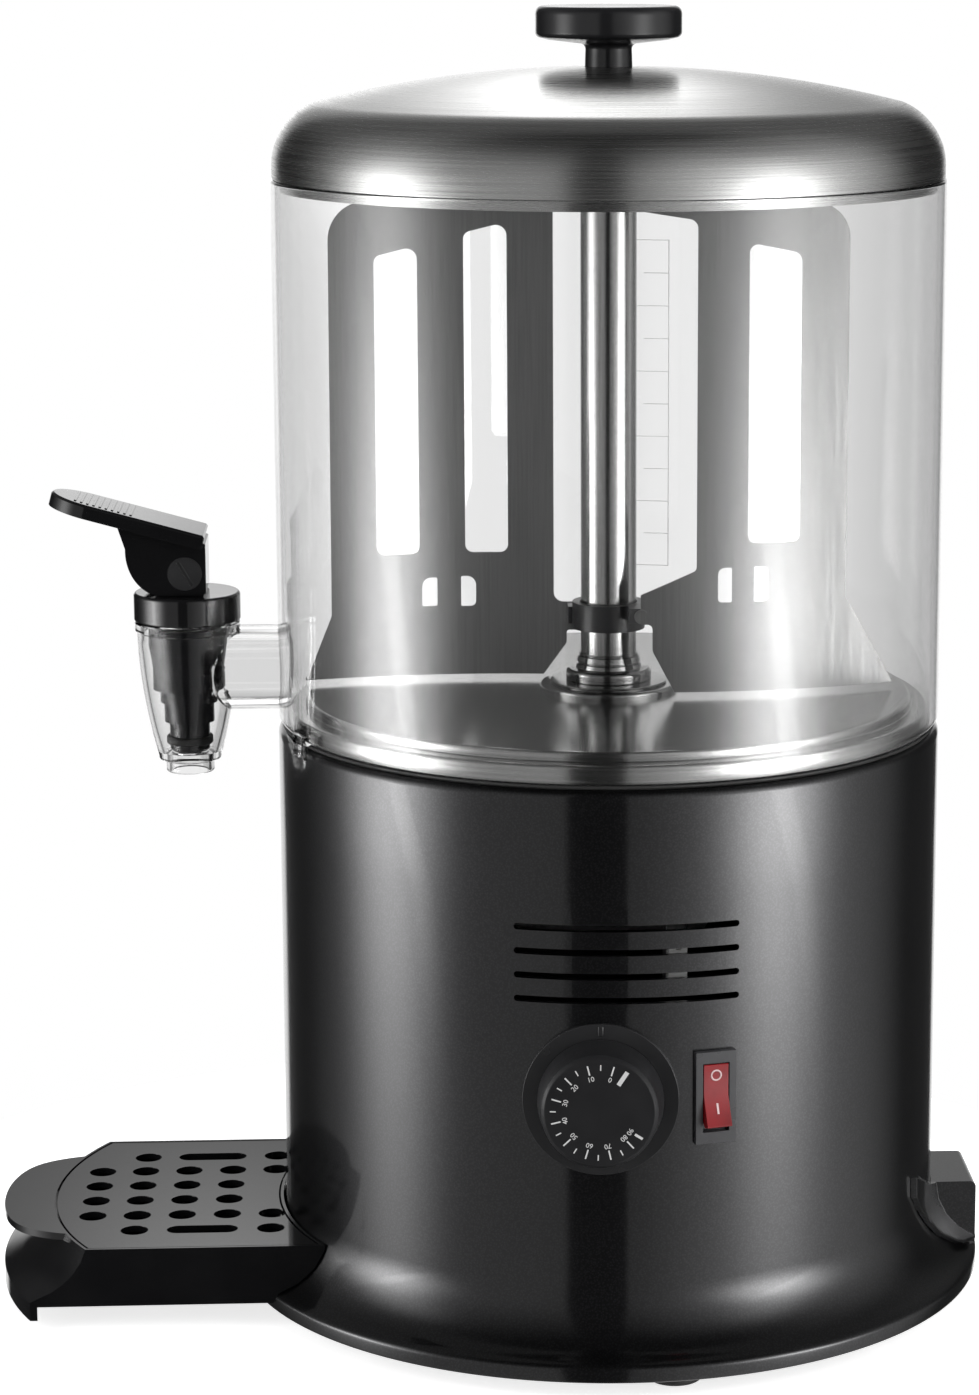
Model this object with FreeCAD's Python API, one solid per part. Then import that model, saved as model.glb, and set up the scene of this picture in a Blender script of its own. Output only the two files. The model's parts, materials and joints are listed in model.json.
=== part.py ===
import FreeCAD, Part
import os
from math import sin, cos, tan, radians, sqrt, hypot

V = FreeCAD.Vector
os.makedirs("parts", exist_ok=True)

# ---------------------------------------------------------------- driving dimensions (mm)
# Everything is drawn about the bowl's own axis and moved by AXIS_X when it is written out,
# so that the origin is at the bottom centre of the whole machine's box.
AXIS_X = 44.5

FOOT_H = 6.5            # ground to the bottom edge of the housing's foot flare
BODY_R = 122.4          # housing radius above the flare
BODY_TOP = 213.8        # housing top
LIP_R = 140.0           # foot flare radius
LIP_TOP = 10.6
COVE_R = 26.0           # concave radius of the flare
COVE_Z = 37.0           # height where the flare starts
WALL = 2.3
BAND = 23.0             # degrees of a turned rounding per flat band, which keeps the mesh light

PAN_Z = 225.5           # heated floor of the bowl
PAN_R = 112.0
SHOULDER_Z = 222.0
SKIRT_R = 118.5
SEAL_TOP = 215.3

BOWL_R = 122.2
BOWL_IN = 119.2
BOWL_BOT = 215.5
BOWL_TOP = 414.0
KNOB_R = 26.5           # lid knob
KNOB_TOP = 475.0

TUBE_R = 10.3
TUBE_TOP = 424.5
SHAFT_R = 4.0
COLLAR_BOT = 248.4      # guide collar that the paddle's foot runs on
COLLAR_TOP = 258.2
STEP_R = 25.4           # raised step of the pan under the column's washer

TAP_X = -155.3          # tap axis
PIPE_Z = 234.6
PIPE_R = 15.6
PIPE_IN = 12.35
CAP_TOP = 263.2
CAP_BOT = 252.7
PIN_Z = 271.5           # lever pin height
CAM_A = 8.5             # cam rise per radian
CAM_H0 = 8.1            # pin to cam foot at rest

TRAY_TOP = 31.5
TRAY_BOT = 9.7
TRAY_W = 62.5           # half width
TRAY_CX = -86.6         # centre of the tray's end arc
TOE_R = 142.4
TOE_BOT = 4.5

DIAL_AZ = -4.35         # azimuth from the front (-Y) towards +X, degrees
DIAL_Z = 104.5
SWITCH_AZ = 14.4
SWITCH_Z = 103.8
VENT_Z = (165.3, 156.7, 148.1, 139.6)


# ---------------------------------------------------------------- helpers
def cyl(r, z0, z1, x=0.0, y=0.0):
    return Part.makeCylinder(r, z1 - z0, V(x, y, z0))


def ring(ro, ri, z0, z1, x=0.0, y=0.0):
    return cyl(ro, z0, z1, x, y).cut(cyl(ri, z0 - 1, z1 + 1, x, y))


def box(x0, x1, y0, y1, z0, z1):
    return Part.makeBox(x1 - x0, y1 - y0, z1 - z0, V(x0, y0, z0))


def arc_points(cx, cz, r, a0, a1, band=BAND):
    """Points along an arc from angle a0 to a1, one flat band every few degrees."""
    n = max(1, round(abs(a1 - a0) / band))
    out = []
    for i in range(n + 1):
        a = radians(a0 + (a1 - a0) * i / n)
        out.append((cx + r * cos(a), cz + r * sin(a)))
    return out


def lathe(points, x=0.0, y=0.0):
    """Solid of revolution of (r, z) points about the vertical line through (x, y)."""
    outline = []
    for r, z in points:
        if not outline or hypot(r - outline[-1].x, z - outline[-1].z) > 1e-4:
            outline.append(V(r, 0, z))
    outline.append(outline[0])
    s = Part.Face(Part.makePolygon(outline)).revolve(V(0, 0, 0), V(0, 0, 1), 360)
    s.translate(V(x, y, 0))
    return s


def rounded_wire(points):
    """Closed wire in the XZ plane through (x, z, corner radius) points."""
    n = len(points)
    edges = []
    ends = []
    for i in range(n):
        ax, az, _ = points[i - 1]
        bx, bz, r = points[i]
        cx, cz, _ = points[(i + 1) % n]
        b = V(bx, 0, bz)
        u = V(ax - bx, 0, az - bz).normalize()
        w = V(cx - bx, 0, cz - bz).normalize()
        if r <= 0:
            ends.append((b, b, None))
            continue
        half = u.getAngle(w) / 2
        d = r / tan(half)
        p, q = b + u * d, b + w * d
        mid = b + (u + w).normalize() * (r / sin(half) - r)
        ends.append((p, q, mid))
    for i in range(n):
        p, q, mid = ends[i]
        if mid is not None:
            edges.append(Part.Arc(p, mid, q).toShape())
        nxt = ends[(i + 1) % n][0]
        if (nxt - q).Length > 1e-6:
            edges.append(Part.makeLine(q, nxt))
    return Part.Wire(edges)


def slab(points, y0, y1):
    """Prism along Y of a rounded outline given in X and Z."""
    f = Part.Face(rounded_wire(points))
    f.translate(V(0, y0, 0))
    return f.extrude(V(0, y1 - y0, 0))


def panel(shape, az, r, z):
    """Put a shape drawn with X to the viewer's right, Y up and Z outward on the housing's side."""
    a = radians(az)
    m = FreeCAD.Matrix(cos(a), 0, sin(a), sin(a) * r,
                       sin(a), 0, -cos(a), -cos(a) * r,
                       0, 1, 0, z,
                       0, 0, 0, 1)
    s = shape.copy()
    s.Placement = FreeCAD.Placement(m).multiply(s.Placement)
    return s


def turned(shape, deg, x=0.0, y=0.0):
    s = shape.copy()
    s.rotate(V(x, y, 0), V(0, 0, 1), deg)
    return s


def fuse(first, *others):
    out = first
    for o in others:
        out = out.fuse(o)
    return out.removeSplitter()


def write(name, shape):
    s = shape.copy()
    s.translate(V(AXIS_X, 0, 0))
    s.exportStep("parts/%s.step" % name)


# ---------------------------------------------------------------- housing and its underside
def cove(off):
    """The flare's hollow curve, grown outward by off, from its foot up to the straight wall."""
    return arc_points(BODY_R + COVE_R, COVE_Z, COVE_R - off, -112.1, -180.0, 17.0)


def body_outline(off):
    """Outer outline of the housing from its axis, grown outward by off."""
    crown = arc_points(BODY_R - 3.0, BODY_TOP - 3.0, 3.0 + off, 0.0, 90.0, 30.0)
    lip = [(LIP_R - 0.8 + off, FOOT_H - off), (LIP_R + off, FOOT_H + 0.8 - off), (LIP_R + off, LIP_TOP)]
    return [(0, FOOT_H - off)] + lip + cove(off) + crown + [(0, BODY_TOP + off)]


def make_housing():
    outer = lathe(body_outline(0.0))
    bend = arc_points(BODY_R + COVE_R, COVE_Z, COVE_R + WALL, -115.0, -180.0, 33.0)
    inner = lathe([(0, 0), (137.4, 0), (137.4, bend[0][1])] + bend +
                  [(BODY_R - WALL, BODY_TOP - 2.5), (116.5, BODY_TOP - 2.5), (116.5, BODY_TOP + 5), (0, BODY_TOP + 5)])
    s = outer.cut(inner)
    # four curved ventilation slots with round ends
    for z in VENT_Z:
        sector = Part.makeCylinder(130, 2.3, V(0, 0, z - 1.15), V(0, 0, 1), 36.2)
        sector = turned(sector.cut(cyl(110, z - 5, z + 5)), -90 - 18.1)
        s = s.cut(sector)
        for side in (-18.1, 18.1):
            s = s.cut(panel(Part.makeCylinder(1.15, 20, V(0, 0, -10)), side, 121, z))
    # dial hole and switch window
    s = s.cut(panel(Part.makeCylinder(22.8, 30, V(0, 0, -15)), DIAL_AZ, 120, DIAL_Z))
    s = s.cut(panel(box(-6.5, 6.5, -15.5, 15.5, -15, 15), SWITCH_AZ, 120, SWITCH_Z))
    # slot for the tray's tongue, opening behind the rear block
    s = s.cut(box(-135, -110, -21, 21, 18.6, 24.4))
    s = s.cut(box(110, 132, -12, 12, 16, 27))
    # screw bosses that the base plate is fixed to
    for k in range(4):
        a = radians(45 + 90 * k)
        b = cyl(4.5, 10.0, 24.0, 129 * cos(a), 129 * sin(a)).common(outer)
        s = s.fuse(b)
    for k in range(4):
        a = radians(45 + 90 * k)
        s = s.cut(cyl(1.6, 5.0, 17.0, 129 * cos(a), 129 * sin(a)))
    return s.removeSplitter()


def make_base_plate():
    s = cyl(136.9, 8.0, 10.0)
    for k in range(4):
        a = radians(45 + 90 * k)
        s = s.cut(cyl(2.2, 0, 20, 129 * cos(a), 129 * sin(a)))
        f = foot_angle(k)
        s = s.cut(cyl(2.1, 0, 20, 119 * cos(f), 119 * sin(f)))
    for i in range(-3, 4):
        s = s.cut(vent_bar(58 + 7 * i))
    return s


def vent_bar(y):
    """Cutter for one round-ended air slot in the base plate."""
    return fuse(box(-24, 24, y - 1.5, y + 1.5, 5, 15), cyl(1.5, 5, 15, -24, y), cyl(1.5, 5, 15, 24, y))


def foot_angle(k):
    return radians(-81.8 + 90 * k)


def make_feet():
    solids = []
    for k in range(4):
        a = foot_angle(k)
        f = lathe([(2.0, 0.0), (9.2, 0.0), (10.5, 1.3), (10.5, 8.0), (2.0, 8.0)], 119 * cos(a), 119 * sin(a))
        f = f.cut(cyl(4.6, -1, 3.2, 119 * cos(a), 119 * sin(a)))
        solids.append(f)
    return Part.makeCompound(solids)


def hex_screw(x, y, seat, length, head_r=3.8, r=2.0, side=-1):
    """Hexagon-headed screw whose head bears on the height seat, below it (side -1) or above it (side 1)."""
    low, high = (seat - 2.2, seat) if side < 0 else (seat, seat + 2.2)
    corners = [V(x + head_r * cos(radians(60 * k)), y + head_r * sin(radians(60 * k)), low) for k in range(7)]
    head = Part.Face(Part.makePolygon(corners)).extrude(V(0, 0, high - low))
    z0, z1 = (seat, seat + length) if side < 0 else (seat - length, seat)
    return head.fuse(cyl(r, z0, z1, x, y))


def make_foot_screws():
    out = []
    for k in range(4):
        a = foot_angle(k)
        x, y = 119 * cos(a), 119 * sin(a)
        out.append(hex_screw(x, y, 3.2, 9.0, 4.2, 1.95))
    return Part.makeCompound(out)


def make_base_screws():
    out = []
    for k in range(4):
        a = radians(45 + 90 * k)
        out.append(hex_screw(129 * cos(a), 129 * sin(a), 8.0, 8.5, 3.6, 1.55))
    return Part.makeCompound(out)


def make_rear_block():
    """Cable entry box at the back with a saddle that hugs the flare."""
    core = slab([(112, 8.0, 0), (138.5, 8.0, 0), (138.5, 30.0 + FOOT_H, 2.2), (112, 30.0 + FOOT_H, 0)], -18.4, 18.4)
    hollow = slab([(100, 12.0, 0), (136.0, 12.0, 0), (136.0, 27.5 + FOOT_H, 1.0), (100, 27.5 + FOOT_H, 0)], -15.9, 15.9)
    wing = Part.Face(Part.makePolygon([V(100, y, z + FOOT_H) for y, z in (
        (-57.4, 45.2), (-57.0, 37.3), (-45.0, 24.1), (-38.5, 15.9), (-32.2, 10.6), (-23.5, 8.4), (-18.0, 7.6),
        (18.0, 7.6), (23.5, 8.4), (32.2, 10.6), (38.5, 15.9), (45.0, 24.1), (57.0, 37.3), (57.4, 45.2),
        (50.1, 41.3), (41.1, 37.0), (18.4, 30.0), (-18.4, 30.0), (-41.1, 37.0), (-50.1, 41.3), (-57.4, 45.2))]))
    wing = wing.extrude(V(60, 0, 0))
    saddle = lathe(body_outline(2.2)).common(wing)
    s = core.fuse(saddle).cut(hollow).cut(lathe(body_outline(0.05)))
    s = s.cut(Part.makeCylinder(4.25, 20, V(130, 0, 22.0), V(1, 0, 0)))
    return s.removeSplitter()


def make_cable_bush():
    """Rubber grommet in the rear block's hole."""
    s = Part.makeCylinder(6.2, 1.4, V(134.6, 0, 22.0), V(1, 0, 0))
    s = s.fuse(Part.makeCylinder(4.25, 3.4, V(135.0, 0, 22.0), V(1, 0, 0)))
    return s.cut(Part.makeCylinder(3.3, 10, V(132, 0, 22.0), V(1, 0, 0))).removeSplitter()


# ---------------------------------------------------------------- heated floor, column and drive
def make_pan():
    return lathe([(TUBE_R, 224.0), (110.5, 224.0), (110.5, 220.5), (117.0, 220.5), (117.0, SEAL_TOP),
                  (SKIRT_R, SEAL_TOP), (SKIRT_R, 221.3), (117.8, SHOULDER_Z), (PAN_R, SHOULDER_Z),
                  (PAN_R, 224.8), (111.3, PAN_Z), (TUBE_R, PAN_Z)])


def make_bowl_seal():
    return lathe([(113.5, BODY_TOP), (120.2, BODY_TOP), (121.0, 214.6), (120.8, SEAL_TOP), (113.5, SEAL_TOP)])


def make_column():
    return ring(TUBE_R, 8.3, 222.0, TUBE_TOP)


def make_column_foot():
    """Raised step, thin washer, round nut and flared sleeve at the column's foot."""
    return lathe([(TUBE_R, PAN_Z), (STEP_R, PAN_Z), (STEP_R, 227.0), (24.4, 227.9), (21.5, 228.0), (21.5, 229.0),
                  (15.8, 229.3), (15.8, 232.4), (14.5, 233.6), (12.3, 233.6), (11.8, 236.2), (11.1, 239.3),
                  (TUBE_R, 239.3)])


def make_column_nut():
    s = ring(17.0, TUBE_R, 214.0, 222.0)
    hexa = Part.Face(Part.makePolygon([V(17 * cos(radians(60 * k)), 17 * sin(radians(60 * k)), 214.0)
                                       for k in range(7)])).extrude(V(0, 0, 8.0))
    w = ring(20.0, TUBE_R, 222.0, 224.0)
    return s.common(hexa).fuse(w).removeSplitter()


def make_bushes():
    low = ring(8.3, SHAFT_R + 0.05, 226.0, 240.0)
    top = fuse(ring(8.3, SHAFT_R + 0.05, 410.0, TUBE_TOP), ring(10.3, SHAFT_R + 0.05, TUBE_TOP, TUBE_TOP + 1.5))
    return Part.makeCompound([low, top])


def make_shaft():
    s = cyl(SHAFT_R, 176.0, 437.0)
    s = s.cut(box(2.9, 10, -10, 10, 428.2, 440))
    s = s.cut(box(2.9, 10, -10, 10, 170, 190.0))
    return s


def make_coupler():
    s = ring(9.0, SHAFT_R, 176.0, 200.0)
    s = s.cut(Part.makeCylinder(1.6, 12, V(0, 0, 182), V(0, -1, 0)))
    s = s.cut(Part.makeCylinder(1.6, 12, V(0, 0, 194), V(0, -1, 0)))
    flat = box(2.9, 4.0, -2.75, 2.75, 176.0, 190.0)
    return s.fuse(flat).removeSplitter()


def make_gearbox():
    s = slab([(-45, 140, 3), (35, 140, 3), (35, 170, 3), (-45, 170, 3)], -30, 30)
    s = s.fuse(cyl(12, 170, 173.5))
    return s.cut(cyl(4.4, 165, 180)).removeSplitter()


def make_motor():
    return lathe([(0, 78), (27, 78), (29, 80), (29, 95), (30.5, 95), (30.5, 123), (29, 123), (29, 140), (0, 140)],
                 -22, 0)


def make_motor_bracket():
    """Steel strap over the gearbox, standing on the base plate."""
    top = box(-78, 68, -34, 34, 173.5, 175.5).cut(cyl(12.6, 160, 180))
    legs = []
    for x in (-78.0, 66.0):
        legs.append(box(x, x + 2, -34, 34, 12.0, 175.5))
    feet = [box(-92, -76, -34, 34, 10.0, 12.0), box(66, 84, -34, 34, 10.0, 12.0)]
    tab = fuse(box(14, 22.5, -96, -32, 173.5, 175.5), box(14, 22.5, -96, -94, 138, 175.5))
    s = fuse(top, legs[0], legs[1], feet[0], feet[1], tab)
    for x, y in ((-35, 20), (-35, -20), (25, 20), (25, -20)):
        s = s.cut(cyl(2.1, 160, 180, x, y))
    return s


def make_bracket_screws():
    out = []
    for x, y in ((-35, 20), (-35, -20), (25, 20), (25, -20)):
        out.append(hex_screw(x, y, 175.5, 5.4, 3.8, 2.0, 1))
    return Part.makeCompound(out)


def make_heater():
    """Heating ring clamped flat under the pan, with its two cold ends."""
    ring_half, mid = 4.0, 82.0
    s = lathe(arc_points(mid, 220.0, ring_half / cos(radians(45)), 45.0, 315.0, 90.0))
    s = s.cut(box(60, 100, -7, 7, 200, 240))
    for y in (-9.5, 9.5):
        s = s.fuse(cyl(3.2, 196.0, 220.0, mid, y))
    return s.removeSplitter()


def make_terminal_block():
    s = box(15, 21.5, -110, -96, 138, 160)
    for i in range(3):
        s = s.cut(Part.makeCylinder(1.9, 5, V(18.25, -111, 142 + 7 * i), V(0, 1, 0)))
    return s


# ---------------------------------------------------------------- paddle
LONG_ARC = ((-5.0, 16.6), (-55.0, 20.8), (-113.5, 11.0))
SHORT_ARC = ((6.0, -18.6), (47.0, -18.4), (107.0, -3.5))
SHEET = 1.2
RIVETS = [(-10.5, 18.2, 252.0, 1), (-9.5, 18.2, 417.0, 1), (11.0, -19.3, 255.6, -1), (10.0, -19.3, 417.0, -1)]


def rivet_shank(x, y, z, side):
    return Part.makeCylinder(1.4, 4.5, V(x, y, z), V(0, -side, 0))


def drilled(shape):
    """Shape with the wings' rivet holes through it."""
    for spot in RIVETS:
        shape = shape.cut(rivet_shank(*spot))
    return shape.removeSplitter()


def inside_arc(points, t):
    """Upright cylinder whose wall, t inside it, follows a wing's bend in plan."""
    bend = Part.Arc(*[V(x, y, 0) for x, y in points]).toShape().Curve
    return Part.makeCylinder(bend.Radius - t, 220, V(bend.Center.x, bend.Center.y, 220))


def bent_sheet(points):
    return inside_arc(points, 0).cut(inside_arc(points, SHEET))


def make_long_wing():
    s = bent_sheet(LONG_ARC)
    out = slab([(-23.4, 227.3, 0), (-14.8, 239.4, 2), (-14.8, 244.3, 1.2), (-5.5, 244.3, 0), (-5.5, 254.9, 0),
                (-19.6, 254.9, 3.5), (-19.6, 410.8, 3), (-5.5, 412.5, 0), (-5.5, 421.5, 0), (-89, 405.0, 14),
                (-102.4, 400, 14), (-102.9, 251.0, 2), (-112.7, 227.3, 0)], -60, 60)
    s = s.common(out)
    cuts = [[(-85.7, 273.1, 3), (-69.7, 273.1, 3), (-69.7, 387.9, 4), (-85.7, 384.0, 3)],
            [(-52.6, 273.5, 3), (-36.6, 273.5, 3), (-36.6, 396.3, 4), (-52.6, 392.4, 3)],
            [(-68.9, 253.3, 0.6), (-63.2, 253.3, 0.6), (-63.2, 264.2, 0.6), (-68.9, 264.2, 3.4)],
            [(-54.3, 253.1, 0.6), (-48.7, 253.1, 2.0), (-48.7, 264.6, 3.4), (-54.3, 264.6, 0.6)]]
    for c in cuts:
        s = s.cut(slab(c, -60, 60))
    return drilled(s)


def make_short_wing():
    s = bent_sheet(SHORT_ARC)
    out = slab([(23.2, 227.3, 0), (105.9, 227.3, 0), (86.9, 260.8, 2), (87.1, 399, 13), (74, 408.3, 12),
                (6.5, 421.5, 0), (6.5, 403.5, 0), (31.2, 399.6, 3.5), (31.2, 272.4, 2), (6.5, 261.5, 0),
                (6.5, 252.6, 0), (15.1, 252.6, 2), (15.1, 242.6, 2)], -60, 60)
    s = s.common(out)
    cuts = [[(49.9, 282.1, 3), (69.3, 282.1, 3), (69.3, 387.4, 4), (49.9, 391.5, 3)],
            [(39.0, 260.4, 1.6), (44.2, 260.4, 0.6), (44.2, 273.4, 0.6), (39.0, 273.4, 2.6)],
            [(52.3, 260.4, 0.6), (57.7, 260.4, 1.6), (57.7, 273.6, 2.6), (52.3, 273.6, 0.6)]]
    for c in cuts:
        s = s.cut(slab(c, -60, 60))
    return drilled(s)


def wing_lugs(za, zb, reach):
    """Blocks that carry the wings' inner ends, shaped to lie flat against the bent sheets."""
    lug_a = box(-reach, -5.5, 7.5, 24.0, za[0], za[1]).common(inside_arc(LONG_ARC, SHEET))
    lug_b = box(6.5, reach, -24.0, -7.5, zb[0], zb[1]).common(inside_arc(SHORT_ARC, SHEET))
    return lug_a.fuse(lug_b)


def make_guide_collar():
    """Black ring that guides the paddle's foot on the column, with one lug for each wing."""
    s = ring(13.4, TUBE_R + 0.3, COLLAR_BOT, COLLAR_TOP)
    s = s.fuse(wing_lugs((COLLAR_BOT, 254.7), (252.8, COLLAR_TOP), 14.6))
    return drilled(s.cut(cyl(TUBE_R + 0.3, 240, 270)))


def make_drive_hub():
    """Cap on the shaft's head that carries both wings."""
    s = lathe([(SHAFT_R, 428.2), (10.6, 428.2), (10.6, 412.2), (13.6, 412.2), (13.6, 433.0), (11.6, 436.2),
               (SHAFT_R, 436.2)])
    s = s.fuse(box(2.9, 4.05, -2.85, 2.85, 428.2, 436.2))
    s = s.fuse(wing_lugs((412.5, 421.0), (412.5, 421.0), 13.0))
    return drilled(s.cut(cyl(10.6, 400, 428.2)))


def make_wing_rivets():
    """Flat-headed rivets that hold each wing to its two lugs."""
    out = []
    for x, y, z, d in RIVETS:
        out.append(Part.makeCylinder(2.6, 0.9, V(x, y, z), V(0, d, 0)).fuse(rivet_shank(x, y, z, d)))
    return Part.makeCompound(out)


# ---------------------------------------------------------------- bowl with its tap barrel
def barrel_radius(z):
    """Outer radius of the tap barrel, a long taper with a slightly hollow side."""
    t = (z - 202.0) / 46.6
    return 12.0 + 6.3 * t + 1.1 * t * (1.0 - t)


def make_bowl():
    foot = arc_points(BOWL_R - 3.0, BOWL_BOT + 3.0, 3.0, -78.0, 0.0, 30.0)
    shell = lathe([(BOWL_IN, BOWL_BOT)] + foot + [(BOWL_R, BOWL_TOP), (BOWL_IN, BOWL_TOP)])
    solid_in = cyl(BOWL_IN, 200, 420)
    pipe = Part.makeCylinder(PIPE_R, -TAP_X - 110, V(TAP_X, 0, PIPE_Z), V(1, 0, 0)).cut(solid_in)
    root = Part.makeCone(PIPE_R + 2.2, PIPE_R, 3.0, V(-121.0, 0, PIPE_Z), V(-1, 0, 0)).cut(solid_in)
    taper = [(barrel_radius(z), z) for z in (202.0, 217.0, 233.0, 248.6)]
    barrel = lathe([(0, 195.8), (8.3, 195.8), (8.9, 196.4), (8.9, 200.2), (11.0, 200.2)] + taper +
                   [(19.2, 248.9), (19.2, 252.2), (17.4, 252.4), (17.4, 260.5), (0, 260.5)], TAP_X, 0)
    s = shell.fuse(pipe).fuse(root).fuse(barrel)
    inside = [(barrel_radius(z) - 2.1, z) for z in (217.0, 233.0)]
    cavity = lathe([(0, 190), (6.9, 190), (6.9, 203.6), (9.6, 203.6)] + inside +
                   [(16.0, 246.0), (16.0, 265), (0, 265)], TAP_X, 0)
    s = s.cut(cavity)
    s = s.cut(Part.makeCylinder(PIPE_IN, -TAP_X - 112, V(TAP_X, 0, PIPE_Z), V(1, 0, 0)))
    # locating lugs that hang over the housing's top edge
    for ang in (-156.6, 23.4):
        lug = Part.makeCylinder(124.4, 8.2, V(0, 0, 210.6), V(0, 0, 1), 4.6)
        lug = lug.cut(cyl(122.9, 205, 215.6)).cut(cyl(121.0, 205, 230))
        s = s.fuse(turned(lug, ang - 2.3))
    return s.removeSplitter()


def dome_height(r):
    """Height of the lid's skin: a shallow crown that rolls over into the rim."""
    if r <= 105.0:
        return 453.3 - 12.3 * (r / 105.0) ** 2.2
    return 419.0 + 22.0 * sqrt(max(0.0, 1.0 - ((r - 105.0) / 16.6) ** 2.2))


def make_lid():
    crown = [(r, dome_height(r)) for r in (2.6, 52.0, 82.0, 105.0, 114.0, 119.5, 121.6)]
    under = [(r - 0.8, dome_height(r) - 1.0) for r in (116.5, 104.5, 64.0)]
    return lathe(crown + [(121.6, BOWL_TOP + 0.05), (118.8, BOWL_TOP + 0.05), (118.8, 410.4), (118.1, 410.4),
                          (118.1, 414.8), (120.7, 414.8), (120.7, 419.0)] + under + [(2.6, 452.4)])


def make_lid_knob():
    edge = 2.9
    disc = arc_points(KNOB_R - edge, KNOB_TOP - edge, edge, 0.0, 90.0, 45.0)
    s = lathe([(0, 453.3), (8.6, 453.3), (8.6, 461.4), (KNOB_R - edge, 462.8), (KNOB_R, 465.8)] + disc +
              [(0, KNOB_TOP)])
    return s.cut(cyl(2.0, 440, 468.0)).removeSplitter()


def make_lid_screw():
    s = fuse(cyl(2.0, 451.0, 466.0), cyl(5.0, 449.0, 450.8), cyl(8.0, 450.8, 452.0))
    return s.cut(box(-4, 4, -0.6, 0.6, 448, 450.0))


# ---------------------------------------------------------------- tap
def make_tap_cap():
    s = lathe([(4.8, 260.7), (17.5, 260.7), (17.5, CAP_BOT), (19.2, CAP_BOT), (19.6, 253.2), (19.6, 262.4),
               (18.9, CAP_TOP), (4.8, CAP_TOP)], TAP_X, 0)
    return s


def make_plunger():
    """Stepped valve plug with its stem, and the well that the return spring stands in."""
    s = lathe([(0, 203.9), (6.6, 203.9), (7.4, 204.8), (7.4, 215.0), (9.2, 215.0), (9.2, 222.4), (10.6, 222.4),
               (10.6, 227.4), (13.2, 227.4), (13.2, 235.0), (14.4, 244.0), (14.4, 250.0), (12.0, 250.0),
               (12.0, 239.0), (4.5, 239.0), (4.5, 275.2), (0, 275.2)], TAP_X, 0)
    s = s.cut(box(TAP_X - 6, TAP_X - 3.6, -6, 6, 266, 280)).cut(box(TAP_X + 3.6, TAP_X + 6, -6, 6, 266, 280))
    return s.cut(Part.makeCylinder(2.55, 20, V(TAP_X, -10, PIN_Z), V(0, 1, 0)))


def make_plunger_seal():
    return lathe([(7.4, 206.6), (8.3, 206.6), (8.6, 207.0), (8.6, 209.0), (8.3, 209.4), (7.4, 209.4)], TAP_X, 0)


def make_tap_spring():
    """Coil of square-ended wire, bent from short straight lengths."""
    turns, steps, r, wire = 5.5, 10, 9.0, 0.7
    z0, z1 = 239.8, 259.8
    n = int(turns * steps)
    pts = []
    for i in range(n + 1):
        a = radians(360.0 * i / steps)
        pts.append(V(r * cos(a), r * sin(a), z0 + (z1 - z0) * i / n))
    path = Part.makePolygon(pts)
    side = [V(r + wire * cos(radians(60 * k)), 0, z0 + wire * sin(radians(60 * k))) for k in range(7)]
    s = path.makePipeShell([Part.makePolygon(side)], True, False, 1)
    s.translate(V(TAP_X, 0, 0))
    return s


def cam_points(n=14):
    """Involute of a circle of radius CAM_A: the pin rises CAM_A per radian of lever turn."""
    pts = []
    for i in range(n + 1):
        f = radians(92.0 * i / n)
        h = CAM_H0 + CAM_A * f
        pts.append((-h * sin(f) - CAM_A * cos(f), -h * cos(f) + CAM_A * sin(f)))
    return pts


def make_lever():
    px, pz = TAP_X, PIN_Z
    cam = [V(px + x, 0, pz + z) for x, z in cam_points()]
    curve = Part.BSplineCurve()
    curve.interpolate(cam)
    top = V(px - 24.6, 0, pz + 19.0)
    back = V(px + 7.7, 0, pz + 11.0)
    heel = V(px + 7.7, 0, pz - CAM_H0 + 1.2)
    toe = V(px + 6.5, 0, pz - CAM_H0)
    outline = Part.Wire([curve.toShape(), Part.makeLine(cam[-1], top), Part.makeLine(top, back),
                         Part.makeLine(back, heel), Part.makeLine(heel, toe), Part.makeLine(toe, cam[0])])
    cheek = Part.Face(outline)
    cheek.translate(V(0, -12, 0))
    block = cheek.extrude(V(0, 24, 0))
    block = block.cut(box(px - 30, px + 6.1, -6.6, 6.6, pz - 20, pz + 7.0))
    # thumb pad with a round end
    half, length, thick = 15.0, 43.0, 5.2
    pad = fuse(box(-length, 0, -half, half, -thick, 0), cyl(half, -thick, 0, -length, 0))
    rim = [e for e in pad.Edges if abs(e.BoundBox.ZMin) < 1e-6 and abs(e.BoundBox.ZMax) < 1e-6]
    pad = pad.makeChamfer(0.8, rim)
    for i in range(10):
        x = -length - 5.5 + 2.3 * i
        w = 11.5 if x > -length else sqrt(max(half * half - (x + length) ** 2, 0)) - 3.5
        pad = pad.fuse(box(x - 0.45, x + 0.45, -w, w, -0.5, 0.3))
    pad.rotate(V(0, 0, 0), V(0, 1, 0), 15.4)
    pad.translate(V(px + 7.7, 0, pz + 14.3))
    s = block.fuse(pad)
    s = s.cut(Part.makeCylinder(2.5, 40, V(px, -20, pz), V(0, 1, 0)))
    s = s.cut(Part.makeCylinder(6.25, 1.3, V(px, -12, pz), V(0, 1, 0)))
    s = s.cut(Part.makeCylinder(6.25, 1.3, V(px, 10.7, pz), V(0, 1, 0)))
    return s.removeSplitter()


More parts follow.
